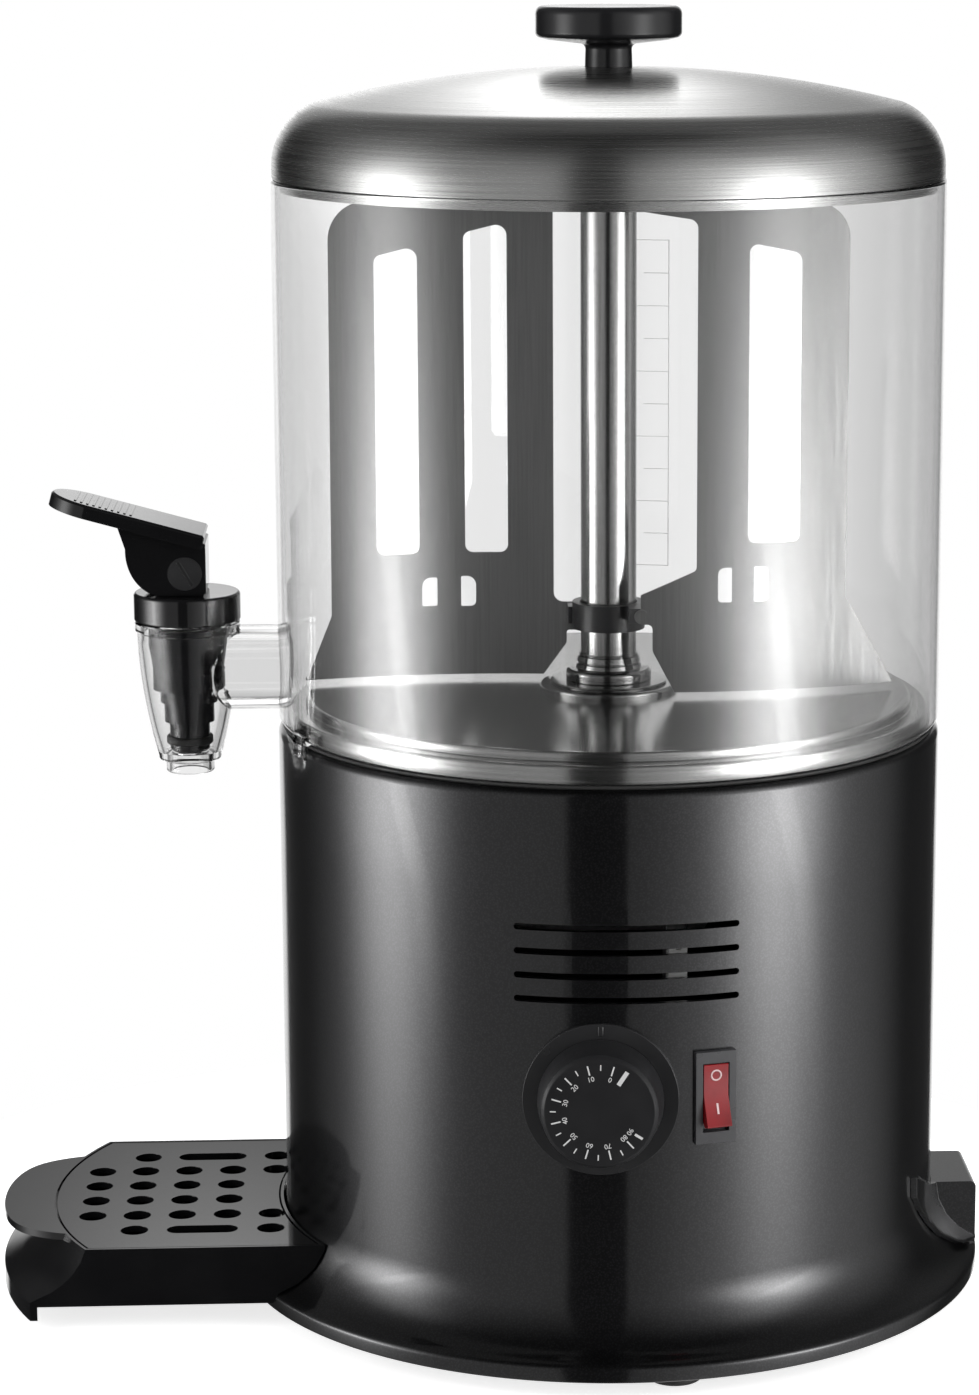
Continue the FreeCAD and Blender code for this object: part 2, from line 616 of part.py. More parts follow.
def make_lever_pin():
    px, pz = TAP_X, PIN_Z
    s = Part.makeCylinder(2.5, 23.6, V(px, -11.8, pz), V(0, 1, 0))
    s = s.fuse(Part.makeCylinder(6.2, 1.2, V(px, -11.95, pz), V(0, 1, 0)))
    s = s.fuse(Part.makeCylinder(6.2, 1.2, V(px, 10.75, pz), V(0, 1, 0)))
    slot = box(px - 5.0, px + 5.0, -12.5, -11.35, pz - 0.6, pz + 0.6)
    slot.rotate(V(px, 0, pz), V(0, 1, 0), 60)
    return s.cut(slot).removeSplitter()


# ---------------------------------------------------------------- drip tray
def make_drip_tray():
    hi, lo = -167.8, -111.5
    end = lathe([(0, TOE_BOT), (TOE_R, TOE_BOT), (TOE_R, 11.4)] + arc_points(149.6, 37.0, COVE_R, lo, hi, 12.0) +
                [(0, TRAY_TOP)], TRAY_CX, 0)
    s = end.common(box(-240, TRAY_CX, -TRAY_W, TRAY_W, 0, 40))
    # flat underside, with the toe's rim left hanging
    s = s.cut(box(-211.6, 0, -70, 70, 0, TRAY_BOT))
    rim_in = lathe([(0, 0), (TOE_R - 2.4, 0), (TOE_R - 2.4, 10.4), (0, 10.4)], TRAY_CX, 0)
    s = s.cut(rim_in.common(box(-240, -211.6, -70, 70, -1, TRAY_BOT)))
    inner = arc_points(149.6, 37.0, COVE_R + 2.4, lo - 3.0, -163.0, 18.0)
    hollow = lathe([(122.6, 5), (TOE_R - 2.4, 5), (TOE_R - 2.4, inner[0][1])] + inner + [(122.6, inner[-1][1])],
                   TRAY_CX, 0)
    s = s.cut(hollow.common(box(-240, TRAY_CX, -TRAY_W + 2.4, TRAY_W - 2.4, 0, 40)))
    # thumb lip
    lip = Part.BSplineCurve()
    lip.interpolate([V(-196.0, -46.0, 0), V(-206.0, -43.6, 0), V(-219.0, -35.6, 0), V(-226.4, -20.0, 0), V(-228.6, 0, 0),
                     V(-226.4, 20.0, 0), V(-219.0, 35.6, 0), V(-206.0, 43.6, 0), V(-196.0, 46.0, 0)])
    face = Part.Face(Part.Wire([lip.toShape(), Part.makeLine(V(-196.0, 46.0, 0), V(-196.0, -46.0, 0))]))
    face.translate(V(0, 0, 28.9))
    s = s.fuse(face.extrude(V(0, 0, 2.6)))
    # basin and the recess the grid drops into
    clear = lathe(body_outline(3.2))
    basin = lathe([(0, 12.2), (120.4, 12.2), (120.4, 40), (0, 40)], TRAY_CX, 0)
    basin = basin.common(box(-240, TRAY_CX, -TRAY_W + 2.4, TRAY_W - 2.4, 0, 40)).cut(clear)
    recess = lathe([(0, 28.7), (123.2, 28.7), (123.2, 40), (0, 40)], TRAY_CX, 0)
    recess = recess.common(box(-240, TRAY_CX, -TRAY_W + 1.2, TRAY_W - 1.2, 0, 40)).cut(lathe(body_outline(1.6)))
    s = s.cut(basin).cut(recess)
    s = s.cut(lathe(body_outline(0.5)))
    # tongue that hooks into the housing
    tongue = box(-128, -117.5, -20, 20, 19.6, 23.2).cut(lathe([(0, 0), (117.0, 0), (117.0, 60), (0, 60)]))
    s = s.fuse(tongue)
    return s.removeSplitter()


def make_drip_grid():
    g = lathe([(0, 28.9), (122.4, 28.9), (122.4, TRAY_TOP - 0.1), (0, TRAY_TOP - 0.1)], TRAY_CX, 0)
    g = g.common(box(-240, TRAY_CX, -TRAY_W + 1.7, TRAY_W - 1.7, 0, 40)).cut(lathe(body_outline(2.2)))
    hole_r = 5.0
    for sy in (-1, 1):
        for x, y in ((-177.5, 42.0), (-194.0, 25.5), (-177.5, 25.5), (-160.8, 25.5), (-144.0, 25.5),
                     (-177.5, 8.5), (-160.8, 8.5), (-144.0, 8.5), (-194.0, 8.5)):
            g = g.cut(cyl(hole_r, 20, 40, x, sy * y))
        g = g.cut(fuse(box(-161.5, -143.5, sy * 42 - 4, sy * 42 + 4, 20, 40), cyl(4, 20, 40, -161.5, sy * 42),
                       cyl(4, 20, 40, -143.5, sy * 42)))
        for y in (42.0, 25.5):
            g = g.cut(cyl(hole_r, 20, 40, -127.3, sy * y))
    # stiffening ribs under the plate
    for y in (-33.5, 0.0, 33.5):
        rib = box(-200, -134, y - 0.8, y + 0.8, 24.5, 28.9)
        g = g.fuse(rib)
    return g.removeSplitter()


# ---------------------------------------------------------------- thermostat
def make_dial_bezel():
    disc = panel(Part.makeCylinder(27.2, 8.0, V(0, 0, -8.0)), DIAL_AZ, 124.0, DIAL_Z)
    disc = disc.cut(lathe(body_outline(0.0)))
    boss = panel(Part.makeCylinder(22.6, 6.0, V(0, 0, -7.0)), DIAL_AZ, 124.0, DIAL_Z)
    mark = panel(box(-0.8, 0.8, 23.0, 26.4, -0.2, 0.35), DIAL_AZ, 124.0, DIAL_Z)
    s = disc.fuse(boss).fuse(mark)
    s = s.cut(panel(Part.makeCylinder(4.0, 40, V(0, 0, -20)), DIAL_AZ, 124.0, DIAL_Z))
    return s.removeSplitter()


def make_thermostat():
    body = box(-19, 19, -17, 17, -32, -8.5)
    neck = Part.makeCylinder(8.0, 2.5, V(0, 0, -9.5))
    s = body.fuse(neck).cut(Part.makeCylinder(3.4, 30, V(0, 0, -14.0)))
    for x in (-12.0, 0.0, 12.0):
        s = s.fuse(box(x - 3.0, x + 3.0, -0.5, 0.5, -39, -32))
    return panel(s.removeSplitter(), DIAL_AZ, 124.0, DIAL_Z)


def make_thermostat_shaft():
    s = Part.makeCylinder(3.0, 22.0, V(0, 0, -13.6))
    s = s.cut(box(2.0, 5, -5, 5, 2.0, 20))
    return panel(s, DIAL_AZ, 124.0, DIAL_Z)


def make_dial_knob():
    prof = [(3.0, 2.0), (6.0, 2.0), (6.0, 12.0), (18.6, 12.0), (20.2, 0.5), (22.0, 0.5), (22.0, 1.6),
            (20.3, 13.2), (19.0, 14.5), (0, 14.5), (0, 8.5), (3.0, 8.5)]
    s = lathe(prof)
    s = s.fuse(box(2.0, 3.05, -2.25, 2.25, 2.0, 8.5))
    return panel(s.removeSplitter(), DIAL_AZ, 124.0, DIAL_Z)


# ---------------------------------------------------------------- rocker switch
def make_switch_body():
    flange = box(-7.4, 7.4, -16.65, 16.65, -4.5, 1.6)
    flange = panel(flange, SWITCH_AZ, 123.0, SWITCH_Z).cut(lathe(body_outline(0.0)))
    body = panel(box(-6.3, 6.3, -15.3, 15.3, -22, 0.5), SWITCH_AZ, 123.0, SWITCH_Z)
    hole = panel(box(-4.85, 4.85, -12.4, 12.4, -9.5, 5), SWITCH_AZ, 123.0, SWITCH_Z)
    s = flange.fuse(body).cut(hole)
    for y in (-9.0, 0.0, 9.0):
        s = s.fuse(panel(box(-2.4, 2.4, y - 0.4, y + 0.4, -30, -22), SWITCH_AZ, 123.0, SWITCH_Z))
    for x in (-4.85, 3.95):
        pivot = Part.makeCylinder(1.2, 0.9, V(x, 0, -2.3), V(1, 0, 0))
        s = s.fuse(panel(pivot, SWITCH_AZ, 123.0, SWITCH_Z))
    return s.removeSplitter()


def make_rocker():
    """Wedge-faced button, drawn level and then tipped so that its upper half is pressed in."""
    pts = [(11.0, 2.35, 0.4), (11.2, -1.0, 0.5), (6.5, -6.2, 0.8), (-6.5, -6.2, 0.8), (-11.2, -1.0, 0.5),
           (-11.0, 2.35, 0.4), (0.0, 0.0, 0)]
    s = slab(pts, -4.5, 4.5)
    # drawn outline: first value is up (local Y), second is outward (local Z)
    m = FreeCAD.Matrix(0, 1, 0, 0, 1, 0, 0, 0, 0, 0, 1, 0, 0, 0, 0, 1)
    s = s.transformGeometry(m)
    for x in (-4.7, 3.3):
        s = s.cut(Part.makeCylinder(1.27, 1.4, V(x, 0, -3.9), V(1, 0, 0)))
    s.rotate(V(0, 0, -3.9), V(1, 0, 0), -12.0)
    s.translate(V(0, 0, 1.6))
    return panel(s, SWITCH_AZ, 123.0, SWITCH_Z)


NODES = [
    ("housing", make_housing), ("base_plate", make_base_plate), ("feet", make_feet),
    ("foot_screws", make_foot_screws), ("base_screws", make_base_screws), ("rear_block", make_rear_block),
    ("cable_bush", make_cable_bush), ("pan", make_pan), ("bowl_seal", make_bowl_seal), ("column", make_column),
    ("column_foot", make_column_foot), ("column_nut", make_column_nut), ("bushes", make_bushes),
    ("drive_shaft", make_shaft), ("coupler", make_coupler), ("gearbox", make_gearbox), ("motor", make_motor),
    ("motor_bracket", make_motor_bracket), ("bracket_screws", make_bracket_screws), ("heater", make_heater),
    ("terminal_block", make_terminal_block), ("long_wing", make_long_wing), ("short_wing", make_short_wing),
    ("guide_collar", make_guide_collar), ("drive_hub", make_drive_hub), ("wing_rivets", make_wing_rivets),
    ("bowl", make_bowl), ("lid", make_lid), ("lid_knob", make_lid_knob), ("lid_screw", make_lid_screw),
    ("tap_cap", make_tap_cap), ("plunger", make_plunger), ("plunger_seal", make_plunger_seal),
    ("tap_spring", make_tap_spring), ("tap_lever", make_lever), ("lever_pin", make_lever_pin),
    ("drip_tray", make_drip_tray), ("drip_grid", make_drip_grid), ("dial_bezel", make_dial_bezel),
    ("thermostat", make_thermostat), ("thermostat_shaft", make_thermostat_shaft), ("dial_knob", make_dial_knob),
    ("switch_body", make_switch_body), ("switch_rocker", make_rocker),
]

for node, maker in NODES:
    write(node, maker())
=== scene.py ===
import json
from math import asin, cos, degrees, pi, radians, sin, sqrt

import bpy
from mathutils import Matrix, Vector


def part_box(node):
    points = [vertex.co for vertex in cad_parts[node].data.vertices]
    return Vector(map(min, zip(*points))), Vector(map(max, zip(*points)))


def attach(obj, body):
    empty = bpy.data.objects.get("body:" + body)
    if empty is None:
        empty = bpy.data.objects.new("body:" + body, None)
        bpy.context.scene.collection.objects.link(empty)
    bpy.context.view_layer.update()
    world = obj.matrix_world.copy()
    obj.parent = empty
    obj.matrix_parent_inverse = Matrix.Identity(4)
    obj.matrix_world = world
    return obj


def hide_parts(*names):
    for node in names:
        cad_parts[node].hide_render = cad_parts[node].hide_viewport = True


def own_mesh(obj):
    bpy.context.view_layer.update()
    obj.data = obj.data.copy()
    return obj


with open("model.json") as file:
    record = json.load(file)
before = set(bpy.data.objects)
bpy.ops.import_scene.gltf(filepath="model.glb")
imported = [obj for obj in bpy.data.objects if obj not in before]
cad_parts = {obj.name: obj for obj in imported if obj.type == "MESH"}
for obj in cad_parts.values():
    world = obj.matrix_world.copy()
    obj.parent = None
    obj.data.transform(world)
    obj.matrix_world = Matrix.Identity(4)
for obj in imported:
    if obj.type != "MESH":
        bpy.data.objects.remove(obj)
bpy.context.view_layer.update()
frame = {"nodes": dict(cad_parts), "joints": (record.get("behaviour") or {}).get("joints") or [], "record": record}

MM = 0.001

# ------------------------------------------------------------ places, in millimetres and degrees
BODY_OF = {n: b for b, ns in frame["record"]["behaviour"]["bodies"].items() for n in ns}
JOINTS = {j["name"]: j for j in frame["joints"]}

AXIS_X = JOINTS["paddle_spin"]["pos_m"][0] / MM        # the bowl's and housing's own axis
TAP_X = JOINTS["lever_hinge"]["pos_m"][0] / MM

# Housing: its lip at the floor, its straight wall, and the hollow of the flare between them.
HOUSING_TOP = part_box("housing")[1].z / MM
LIP_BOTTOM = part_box("housing")[0].z / MM
LIP_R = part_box("housing")[1].y / MM
LIP_IN = 136.9
BODY_R = 122.4
BODY_WALL = 2.3
COVE_R, COVE_Z = 26.0, 37.0

# Slots in the housing: the heights of their middles, half their height and half their sweep.
VENT_Z = (165.3, 156.7, 148.1, 139.6)
VENT_RISE = 1.15
VENT_HALF = 18.1

# Bowl, the pan in it, and the tap with the pipe that leads to it.
BOWL_LOW = 215.5
BOWL_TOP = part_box("bowl")[1].z / MM
BOWL_OUT, BOWL_IN = 122.2, 119.2
PAN_Z = 225.5
BARREL_LOW, BARREL_HEIGHT = 202.0, 46.6
TAP_WALL = 2.0
# How far from the tap's axis the faces take the darker copy of the clear plastic, which is painted shade.
TAP_SHADE_REACH = 24.0
PIPE_Z = 234.6

# Lid: a shallow crown, the roll from it down to the rim, and the knob.
LID_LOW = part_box("lid")[0].z / MM
LID_R = 121.6
CROWN_R, CROWN_TOP, CROWN_DROP = 105.0, 453.3, 12.3
ROLL_WIDTH, ROLL_HEIGHT = 16.6, 22.0
RIM_Z = 419.0
KNOB_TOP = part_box("lid_knob")[1].z / MM
KNOB_R = 26.5

# Dial and switch on the housing's wall.
DIAL_AZ, DIAL_Z, DIAL_FACE = -4.35, 104.5, 138.5
SWITCH_AZ = 14.4


# ------------------------------------------------------------ modelling helpers
def deselect():
    bpy.ops.object.select_all(action="DESELECT")


def pick(piece):
    """Makes the piece the active one and the only one selected."""
    deselect()
    bpy.context.view_layer.objects.active = piece
    piece.select_set(True)


def edit(piece):
    """Opens the piece in edit mode with everything selected."""
    pick(piece)
    bpy.ops.object.mode_set(mode="EDIT")
    bpy.ops.mesh.select_mode(type="VERT")
    bpy.ops.mesh.select_all(action="SELECT")


def close():
    bpy.ops.object.mode_set(mode="OBJECT")


def settle(piece):
    """Moves the piece's place into its mesh, so its object stands at the origin."""
    pick(piece)
    bpy.ops.object.transform_apply(location=True, rotation=True, scale=True)
    return piece


def modify(piece, kind, **settings):
    """Adds a modifier with its settings and applies it."""
    pick(piece)
    m = piece.modifiers.new(kind.title(), kind)
    for key, value in settings.items():
        setattr(m, key, value)
    bpy.ops.object.modifier_apply(modifier=m.name)
    return piece


def soften(piece, width, segments, angle):
    """Rounds the piece's edges that are sharper than the angle, width in millimetres."""
    return modify(piece, "BEVEL", width=width * MM, segments=segments, limit_method="ANGLE",
                  angle_limit=radians(angle), use_clamp_overlap=True, harden_normals=False)


def smooth(piece, angle):
    """Smooth shading over edges that are flatter than the angle."""
    pick(piece)
    bpy.ops.object.shade_smooth_by_angle(angle=radians(angle))
    return piece


def even(piece):
    """Keeps each large face's own direction, so that only the rounded edges blend."""
    return modify(piece, "WEIGHTED_NORMAL", mode="FACE_AREA_WITH_ANGLE", keep_sharp=True)


def arc(cx, cz, r, start, end, n):
    """Points of a rounding, angles in degrees."""
    return [(cx + r * cos(radians(start + (end - start) * i / n)),
             cz + r * sin(radians(start + (end - start) * i / n))) for i in range(n + 1)]


def rectangle(inner, outer, low, high):
    """Closed outline of a ring with flat sides."""
    return [(inner, low), (outer, low), (outer, high), (inner, high), (inner, low)]


def turn(name, outline, steps, x=AXIS_X, sweep=360.0, start=0.0):
    """Turned piece: an outline of (radius, height) points is drawn and spun round an upright axis."""
    deselect()
    r0, z0 = outline[0]
    bpy.ops.mesh.primitive_plane_add(size=MM, location=(0, 0, 0))
    piece = bpy.context.object
    piece.name = name
    edit(piece)
    bpy.ops.mesh.merge(type="CENTER")
    ray = Vector((cos(radians(start)), sin(radians(start)), 0))
    here = Vector((x, 0.0, z0)) + ray * r0
    bpy.ops.transform.translate(value=here * MM)
    for r, z in outline[1:]:
        there = Vector((x, 0.0, z)) + ray * r
        bpy.ops.mesh.extrude_region_move(TRANSFORM_OT_translate={"value": (there - here) * MM})
        here = there
    bpy.ops.mesh.select_all(action="SELECT")
    bpy.ops.mesh.spin(steps=steps, angle=radians(sweep), center=(x * MM, 0.0, 0), axis=(0, 0, -1))
    bpy.ops.mesh.select_all(action="SELECT")
    bpy.ops.mesh.remove_doubles(threshold=1e-6)
    if sweep < 360.0:
        bpy.ops.mesh.select_all(action="DESELECT")
        bpy.ops.mesh.select_non_manifold(extend=False)
        bpy.ops.mesh.edge_face_add()
        bpy.ops.mesh.select_all(action="SELECT")
    bpy.ops.mesh.normals_make_consistent(inside=False)
    close()
    return settle(piece)


def bar(name, size, centre):
    """Block of a size in millimetres about a centre."""
    deselect()
    bpy.ops.mesh.primitive_cube_add(size=1.0, location=(0, 0, 0))
    piece = bpy.context.object
    piece.name = name
    piece.scale = Vector(size) * MM
    piece.location = Vector(centre) * MM
    return settle(piece)


def rod(name, radius, depth, centre, axis, sides):
    """Round bar along an upright axis or along X, in millimetres."""
    deselect()
    lean = {"Z": (0, 0, 0), "X": (0, pi / 2, 0)}[axis]
    bpy.ops.mesh.primitive_cylinder_add(vertices=sides, radius=radius * MM, depth=depth * MM,
                                        location=Vector(centre) * MM, rotation=lean)
    piece = bpy.context.object
    piece.name = name
    return settle(piece)


def cut(piece, *tools, how="DIFFERENCE", solver="MANIFOLD"):
    """Boolean with each tool in turn; the tools are used up."""
    for tool in tools:
        modify(piece, "BOOLEAN", operation=how, object=tool, solver=solver)
        bpy.data.objects.remove(tool)
    return piece


def join(first, *others):
    """Makes one piece of several."""
    deselect()
    for o in others:
        o.select_set(True)
    first.select_set(True)
    bpy.context.view_layer.objects.active = first
    bpy.ops.object.join()
    return first


def on_panel(azimuth, radial, height):
    """Place on the housing's side: X to the viewer's right, Y up, Z straight out of the wall."""
    a = radians(azimuth)
    out = Vector((sin(a), -cos(a), 0))
    right = Vector((cos(a), sin(a), 0))
    m = Matrix((right, Vector((0, 0, 1)), out)).transposed().to_4x4()
    m.translation = (Vector((AXIS_X, 0, height)) + out * radial) * MM
    return m


def seat(piece, place):
    """Puts a piece that was drawn at the origin in its place."""
    piece.matrix_world = place @ piece.matrix_world
    return settle(piece)


def finish_piece(piece, material, node):
    """Gives a finished piece its material, and the body of the node that it belongs to."""
    piece.data.materials.clear()
    piece.data.materials.append(material)
    for p in piece.data.polygons:
        p.material_index = 0
    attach(piece, BODY_OF[node])
    return piece


def stand_for(piece, material, node):
    """Finishes a piece that is shown in place of its node."""
    finish_piece(piece, material, node)
    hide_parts(node)
    return piece


def refined(node, name, width=0.0, segments=2, angle=32.0, away=None):
    """Copy of a node's solid with its facets merged, its sharp edges rounded and its curves smooth."""
    source = frame["nodes"][node]
    piece = bpy.data.objects.new(name, source.data.copy())
    bpy.context.scene.collection.objects.link(piece)
    edit(piece)
    bpy.ops.mesh.remove_doubles(threshold=2e-6)
    bpy.ops.mesh.dissolve_limited(angle_limit=radians(1.0))
    close()
    if away:
        cut(piece, away, solver="EXACT")
    if width:
        soften(piece, width, segments, angle)
    smooth(piece, angle)
    return even(piece)


# ------------------------------------------------------------ node helpers
NOISE_LOW, NOISE_HIGH = 0.3, 0.7        # most of a noise texture's values lie between these


def math_node(tree, operation, a, b=None):
    """Result of an operation on one or two values, each a number or another node's output."""
    n = tree.nodes.new("ShaderNodeMath")
    n.operation = operation
    for i, v in enumerate((a, b)):
        if v is None:
            continue
        if isinstance(v, (int, float)):
            n.inputs[i].default_value = v
        else:
            tree.links.new(v, n.inputs[i])
    return n.outputs[0]


def plus(tree, a, b):
    return math_node(tree, "ADD", a, b)


def times(tree, *factors):
    product = factors[0]
    for f in factors[1:]:
        product = math_node(tree, "MULTIPLY", product, f)
    return product


def coords(tree, scale=(1.0, 1.0, 1.0)):
    """Object coordinates, stretched per axis."""
    where = tree.nodes.new("ShaderNodeTexCoord")
    mapping = tree.nodes.new("ShaderNodeMapping")
    mapping.inputs["Scale"].default_value = scale
    tree.links.new(where.outputs["Object"], mapping.inputs["Vector"])
    return mapping.outputs["Vector"]


def axes(tree, vector):
    """The vector's X, Y and Z."""
    split = tree.nodes.new("ShaderNodeSeparateXYZ")
    tree.links.new(vector, split.inputs["Vector"])
    return [split.outputs[axis] for axis in "XYZ"]


def noise(tree, vector, scale, detail=3.0):
    n = tree.nodes.new("ShaderNodeTexNoise")
    n.inputs["Scale"].default_value = scale
    n.inputs["Detail"].default_value = detail
    tree.links.new(vector, n.inputs["Vector"])
    return n.outputs["Fac"]


def spread(tree, value, low, high):
    """Noise value mapped to a range."""
    m = tree.nodes.new("ShaderNodeMapRange")
    m.inputs["From Min"].default_value = NOISE_LOW
    m.inputs["From Max"].default_value = NOISE_HIGH
    m.inputs["To Min"].default_value = low
    m.inputs["To Max"].default_value = high
    tree.links.new(value, m.inputs["Value"])
    return m.outputs["Result"]


def tint(tree, value, first, last, low=NOISE_LOW, high=NOISE_HIGH):
    """Colour that runs from the first to the last as a value rises from low to high."""
    ramp = tree.nodes.new("ShaderNodeValToRGB")
    ramp.color_ramp.elements[0].position = low
    ramp.color_ramp.elements[0].color = (*first, 1.0)
    ramp.color_ramp.elements[1].position = high
    ramp.color_ramp.elements[1].color = (*last, 1.0)
    tree.links.new(value, ramp.inputs["Fac"])
    return ramp.outputs["Color"]


def bump(tree, shader, height, strength, distance):
    b = tree.nodes.new("ShaderNodeBump")
    b.inputs["Strength"].default_value = strength
    b.inputs["Distance"].default_value = distance
    tree.links.new(height, b.inputs["Height"])
    tree.links.new(b.outputs["Normal"], shader.inputs["Normal"])


# ------------------------------------------------------------ materials
def new_material(name, color, rough, metal=0.0):
    mat = bpy.data.materials.new(name)
    mat.use_nodes = True
    tree = mat.node_tree
    shader = tree.nodes["Principled BSDF"]
    shader.inputs["Base Color"].default_value = (*color, 1.0)
    shader.inputs["Roughness"].default_value = rough
    shader.inputs["Metallic"].default_value = metal
    return mat, tree, shader


def show_instead(tree, output):
    """Puts another shader at the material's output."""
    tree.links.new(output, tree.nodes["Material Output"].inputs["Surface"])


def metallic_paint():
    """Gunmetal lacquer: fine metal flake under a clear coat."""
    dark, light = (0.011, 0.011, 0.012), (0.024, 0.024, 0.026)
    mat, tree, shader = new_material("gunmetal_lacquer", light, 0.36, 0.9)
    vector = coords(tree)
    flake = tree.nodes.new("ShaderNodeTexVoronoi")
    flake.inputs["Scale"].default_value = 1300.0
    tree.links.new(vector, flake.inputs["Vector"])
    glitter = tint(tree, flake.outputs["Distance"], light, dark, 0.1, 0.6)
    tree.links.new(glitter, shader.inputs["Base Color"])
    tree.links.new(spread(tree, noise(tree, vector, 18.0), 0.3, 0.36), shader.inputs["Roughness"])
    bump(tree, shader, flake.outputs["Distance"], 0.06, 0.0002)
    shader.inputs["Coat Weight"].default_value = 1.0
    shader.inputs["Coat Roughness"].default_value = 0.07
    return mat


def moulded(name, dark, light, rough, texture=300.0, depth=0.02, gloss=0.5):
    """Moulded plastic with a faint skin texture."""
    mat, tree, shader = new_material(name, dark, rough)
    vector = coords(tree)
    tree.links.new(tint(tree, noise(tree, vector, 40.0), dark, light), shader.inputs["Base Color"])
    polish = spread(tree, noise(tree, vector, 70.0), rough * 0.8, rough * 1.25)
    tree.links.new(polish, shader.inputs["Roughness"])
    bump(tree, shader, noise(tree, vector, texture, 4.0), depth, 0.0003)
    shader.inputs["Specular IOR Level"].default_value = gloss
    return mat


def lamp_rays_pass(tree, shader, color):
    """Lets lamps shine through a clear piece onto what is behind it."""
    path = tree.nodes.new("ShaderNodeLightPath")
    clear = tree.nodes.new("ShaderNodeBsdfTransparent")
    clear.inputs["Color"].default_value = (*color, 1.0)
    mix = tree.nodes.new("ShaderNodeMixShader")
    tree.links.new(path.outputs["Is Shadow Ray"], mix.inputs["Fac"])
    tree.links.new(shader.outputs["BSDF"], mix.inputs[1])
    tree.links.new(clear.outputs["BSDF"], mix.inputs[2])
    show_instead(tree, mix.outputs["Shader"])


def clear_plastic(name, level, glare):
    """Clear polycarbonate, very slightly wavy from the mould."""
    mat, tree, shader = new_material(name, (level, level, level), 0.0)
    # A glare below 1 dims the reflections; the tap's copy uses it, with a lower level, as painted shade.
    shader.inputs["Specular Tint"].default_value = (glare, glare, glare, 1.0)
    vector = coords(tree)
    tree.links.new(spread(tree, noise(tree, vector, 30.0), 0.0, 0.02), shader.inputs["Roughness"])
    bump(tree, shader, noise(tree, vector, 14.0, 2.0), 0.03, 0.001)
    shader.inputs["Transmission Weight"].default_value = 1.0
    shader.inputs["IOR"].default_value = 1.49
    lamp_rays_pass(tree, shader, (0.9, 0.9, 0.9))
    return mat


def streaks(tree, shader, vector, color, rough, tones, polish, depth):
    """Fine streaks: tones and polish are the least and most of the colour and of the roughness."""
    streak = noise(tree, vector, 1.0, 5.0)
    dim = tuple(c * tones[0] for c in color)
    bright = tuple(min(1.0, c * tones[1]) for c in color)
    tree.links.new(tint(tree, streak, dim, bright), shader.inputs["Base Color"])
    grain = spread(tree, streak, rough * polish[0], rough * polish[1])
    tree.links.new(grain, shader.inputs["Roughness"])
    bump(tree, shader, streak, depth, 0.0002)


def brushed(name, color, rough, stretch, depth=0.05):
    """Brushed metal with straight streaks, along the axis that is stretched least."""
    mat, tree, shader = new_material(name, color, rough, 1.0)
    vector = coords(tree, stretch)
    streaks(tree, shader, vector, color, rough, (0.86, 1.12), (0.75, 1.3), depth)
    return mat


def turned_steel(name, color, rough, rings, aniso, depth=0.06):
    """Steel brushed in circles round the machine's axis."""
    mat, tree, shader = new_material(name, color, rough, 1.0)
    where = tree.nodes.new("ShaderNodeTexCoord")
    centre = tree.nodes.new("ShaderNodeVectorMath")
    centre.operation = "SUBTRACT"
    centre.inputs[1].default_value = (AXIS_X * MM, 0.0, 0.0)
    tree.links.new(where.outputs["Object"], centre.inputs[0])
    x, y, z = axes(tree, centre.outputs["Vector"])
    radius = math_node(tree, "SQRT", plus(tree, times(tree, x, x), times(tree, y, y)))
    angle = math_node(tree, "ARCTAN2", y, x)
    turned = tree.nodes.new("ShaderNodeCombineXYZ")
    tree.links.new(times(tree, radius, rings), turned.inputs["X"])
    tree.links.new(times(tree, angle, 1.2), turned.inputs["Y"])
    tree.links.new(times(tree, z, rings), turned.inputs["Z"])
    streaks(tree, shader, turned.outputs["Vector"], color, rough, (0.88, 1.1), (0.8, 1.25), depth)
    tangent = tree.nodes.new("ShaderNodeTangent")
    tangent.direction_type = "RADIAL"
    tangent.axis = "Z"
    tree.links.new(tangent.outputs["Tangent"], shader.inputs["Tangent"])
    shader.inputs["Anisotropic"].default_value = aniso
    shader.inputs["Anisotropic Rotation"].default_value = 0.25
    return mat


def red_lens():
    """Red translucent rocker with a lamp behind it that is off."""
    dark, light = (0.2, 0.003, 0.006), (0.32, 0.007, 0.012)
    mat, tree, shader = new_material("red_lens", light, 0.12)
    vector = coords(tree)
    tree.links.new(tint(tree, noise(tree, vector, 90.0), dark, light), shader.inputs["Base Color"])
    tree.links.new(spread(tree, noise(tree, vector, 140.0), 0.08, 0.16), shader.inputs["Roughness"])
    shader.inputs["Subsurface Weight"].default_value = 0.25
    shader.inputs["Subsurface Radius"].default_value = (0.004, 0.0006, 0.0004)
    return mat


GUNMETAL = metallic_paint()
BLACK = moulded("black_gloss", (0.008, 0.008, 0.009), (0.013, 0.013, 0.014), 0.16)
BLACK_MIRROR = moulded("black_mirror_gloss", (0.004, 0.004, 0.0045), (0.007, 0.007, 0.0075), 0.07,
                       texture=60.0, depth=0.01)
BLACK_SATIN = moulded("black_satin", (0.012, 0.012, 0.013), (0.018, 0.018, 0.019), 0.42,
                      texture=900.0, depth=0.08, gloss=0.2)
BEZEL_BLACK = moulded("black_bezel", (0.018, 0.018, 0.019), (0.024, 0.024, 0.025), 0.22)
PIN_BLACK = moulded("black_pin", (0.014, 0.014, 0.015), (0.02, 0.02, 0.021), 0.36,
                    texture=900.0, depth=0.04)
GREY_FRAME = moulded("grey_switch_frame", (0.035, 0.035, 0.038), (0.045, 0.045, 0.048), 0.3,
                     texture=700.0, depth=0.05)
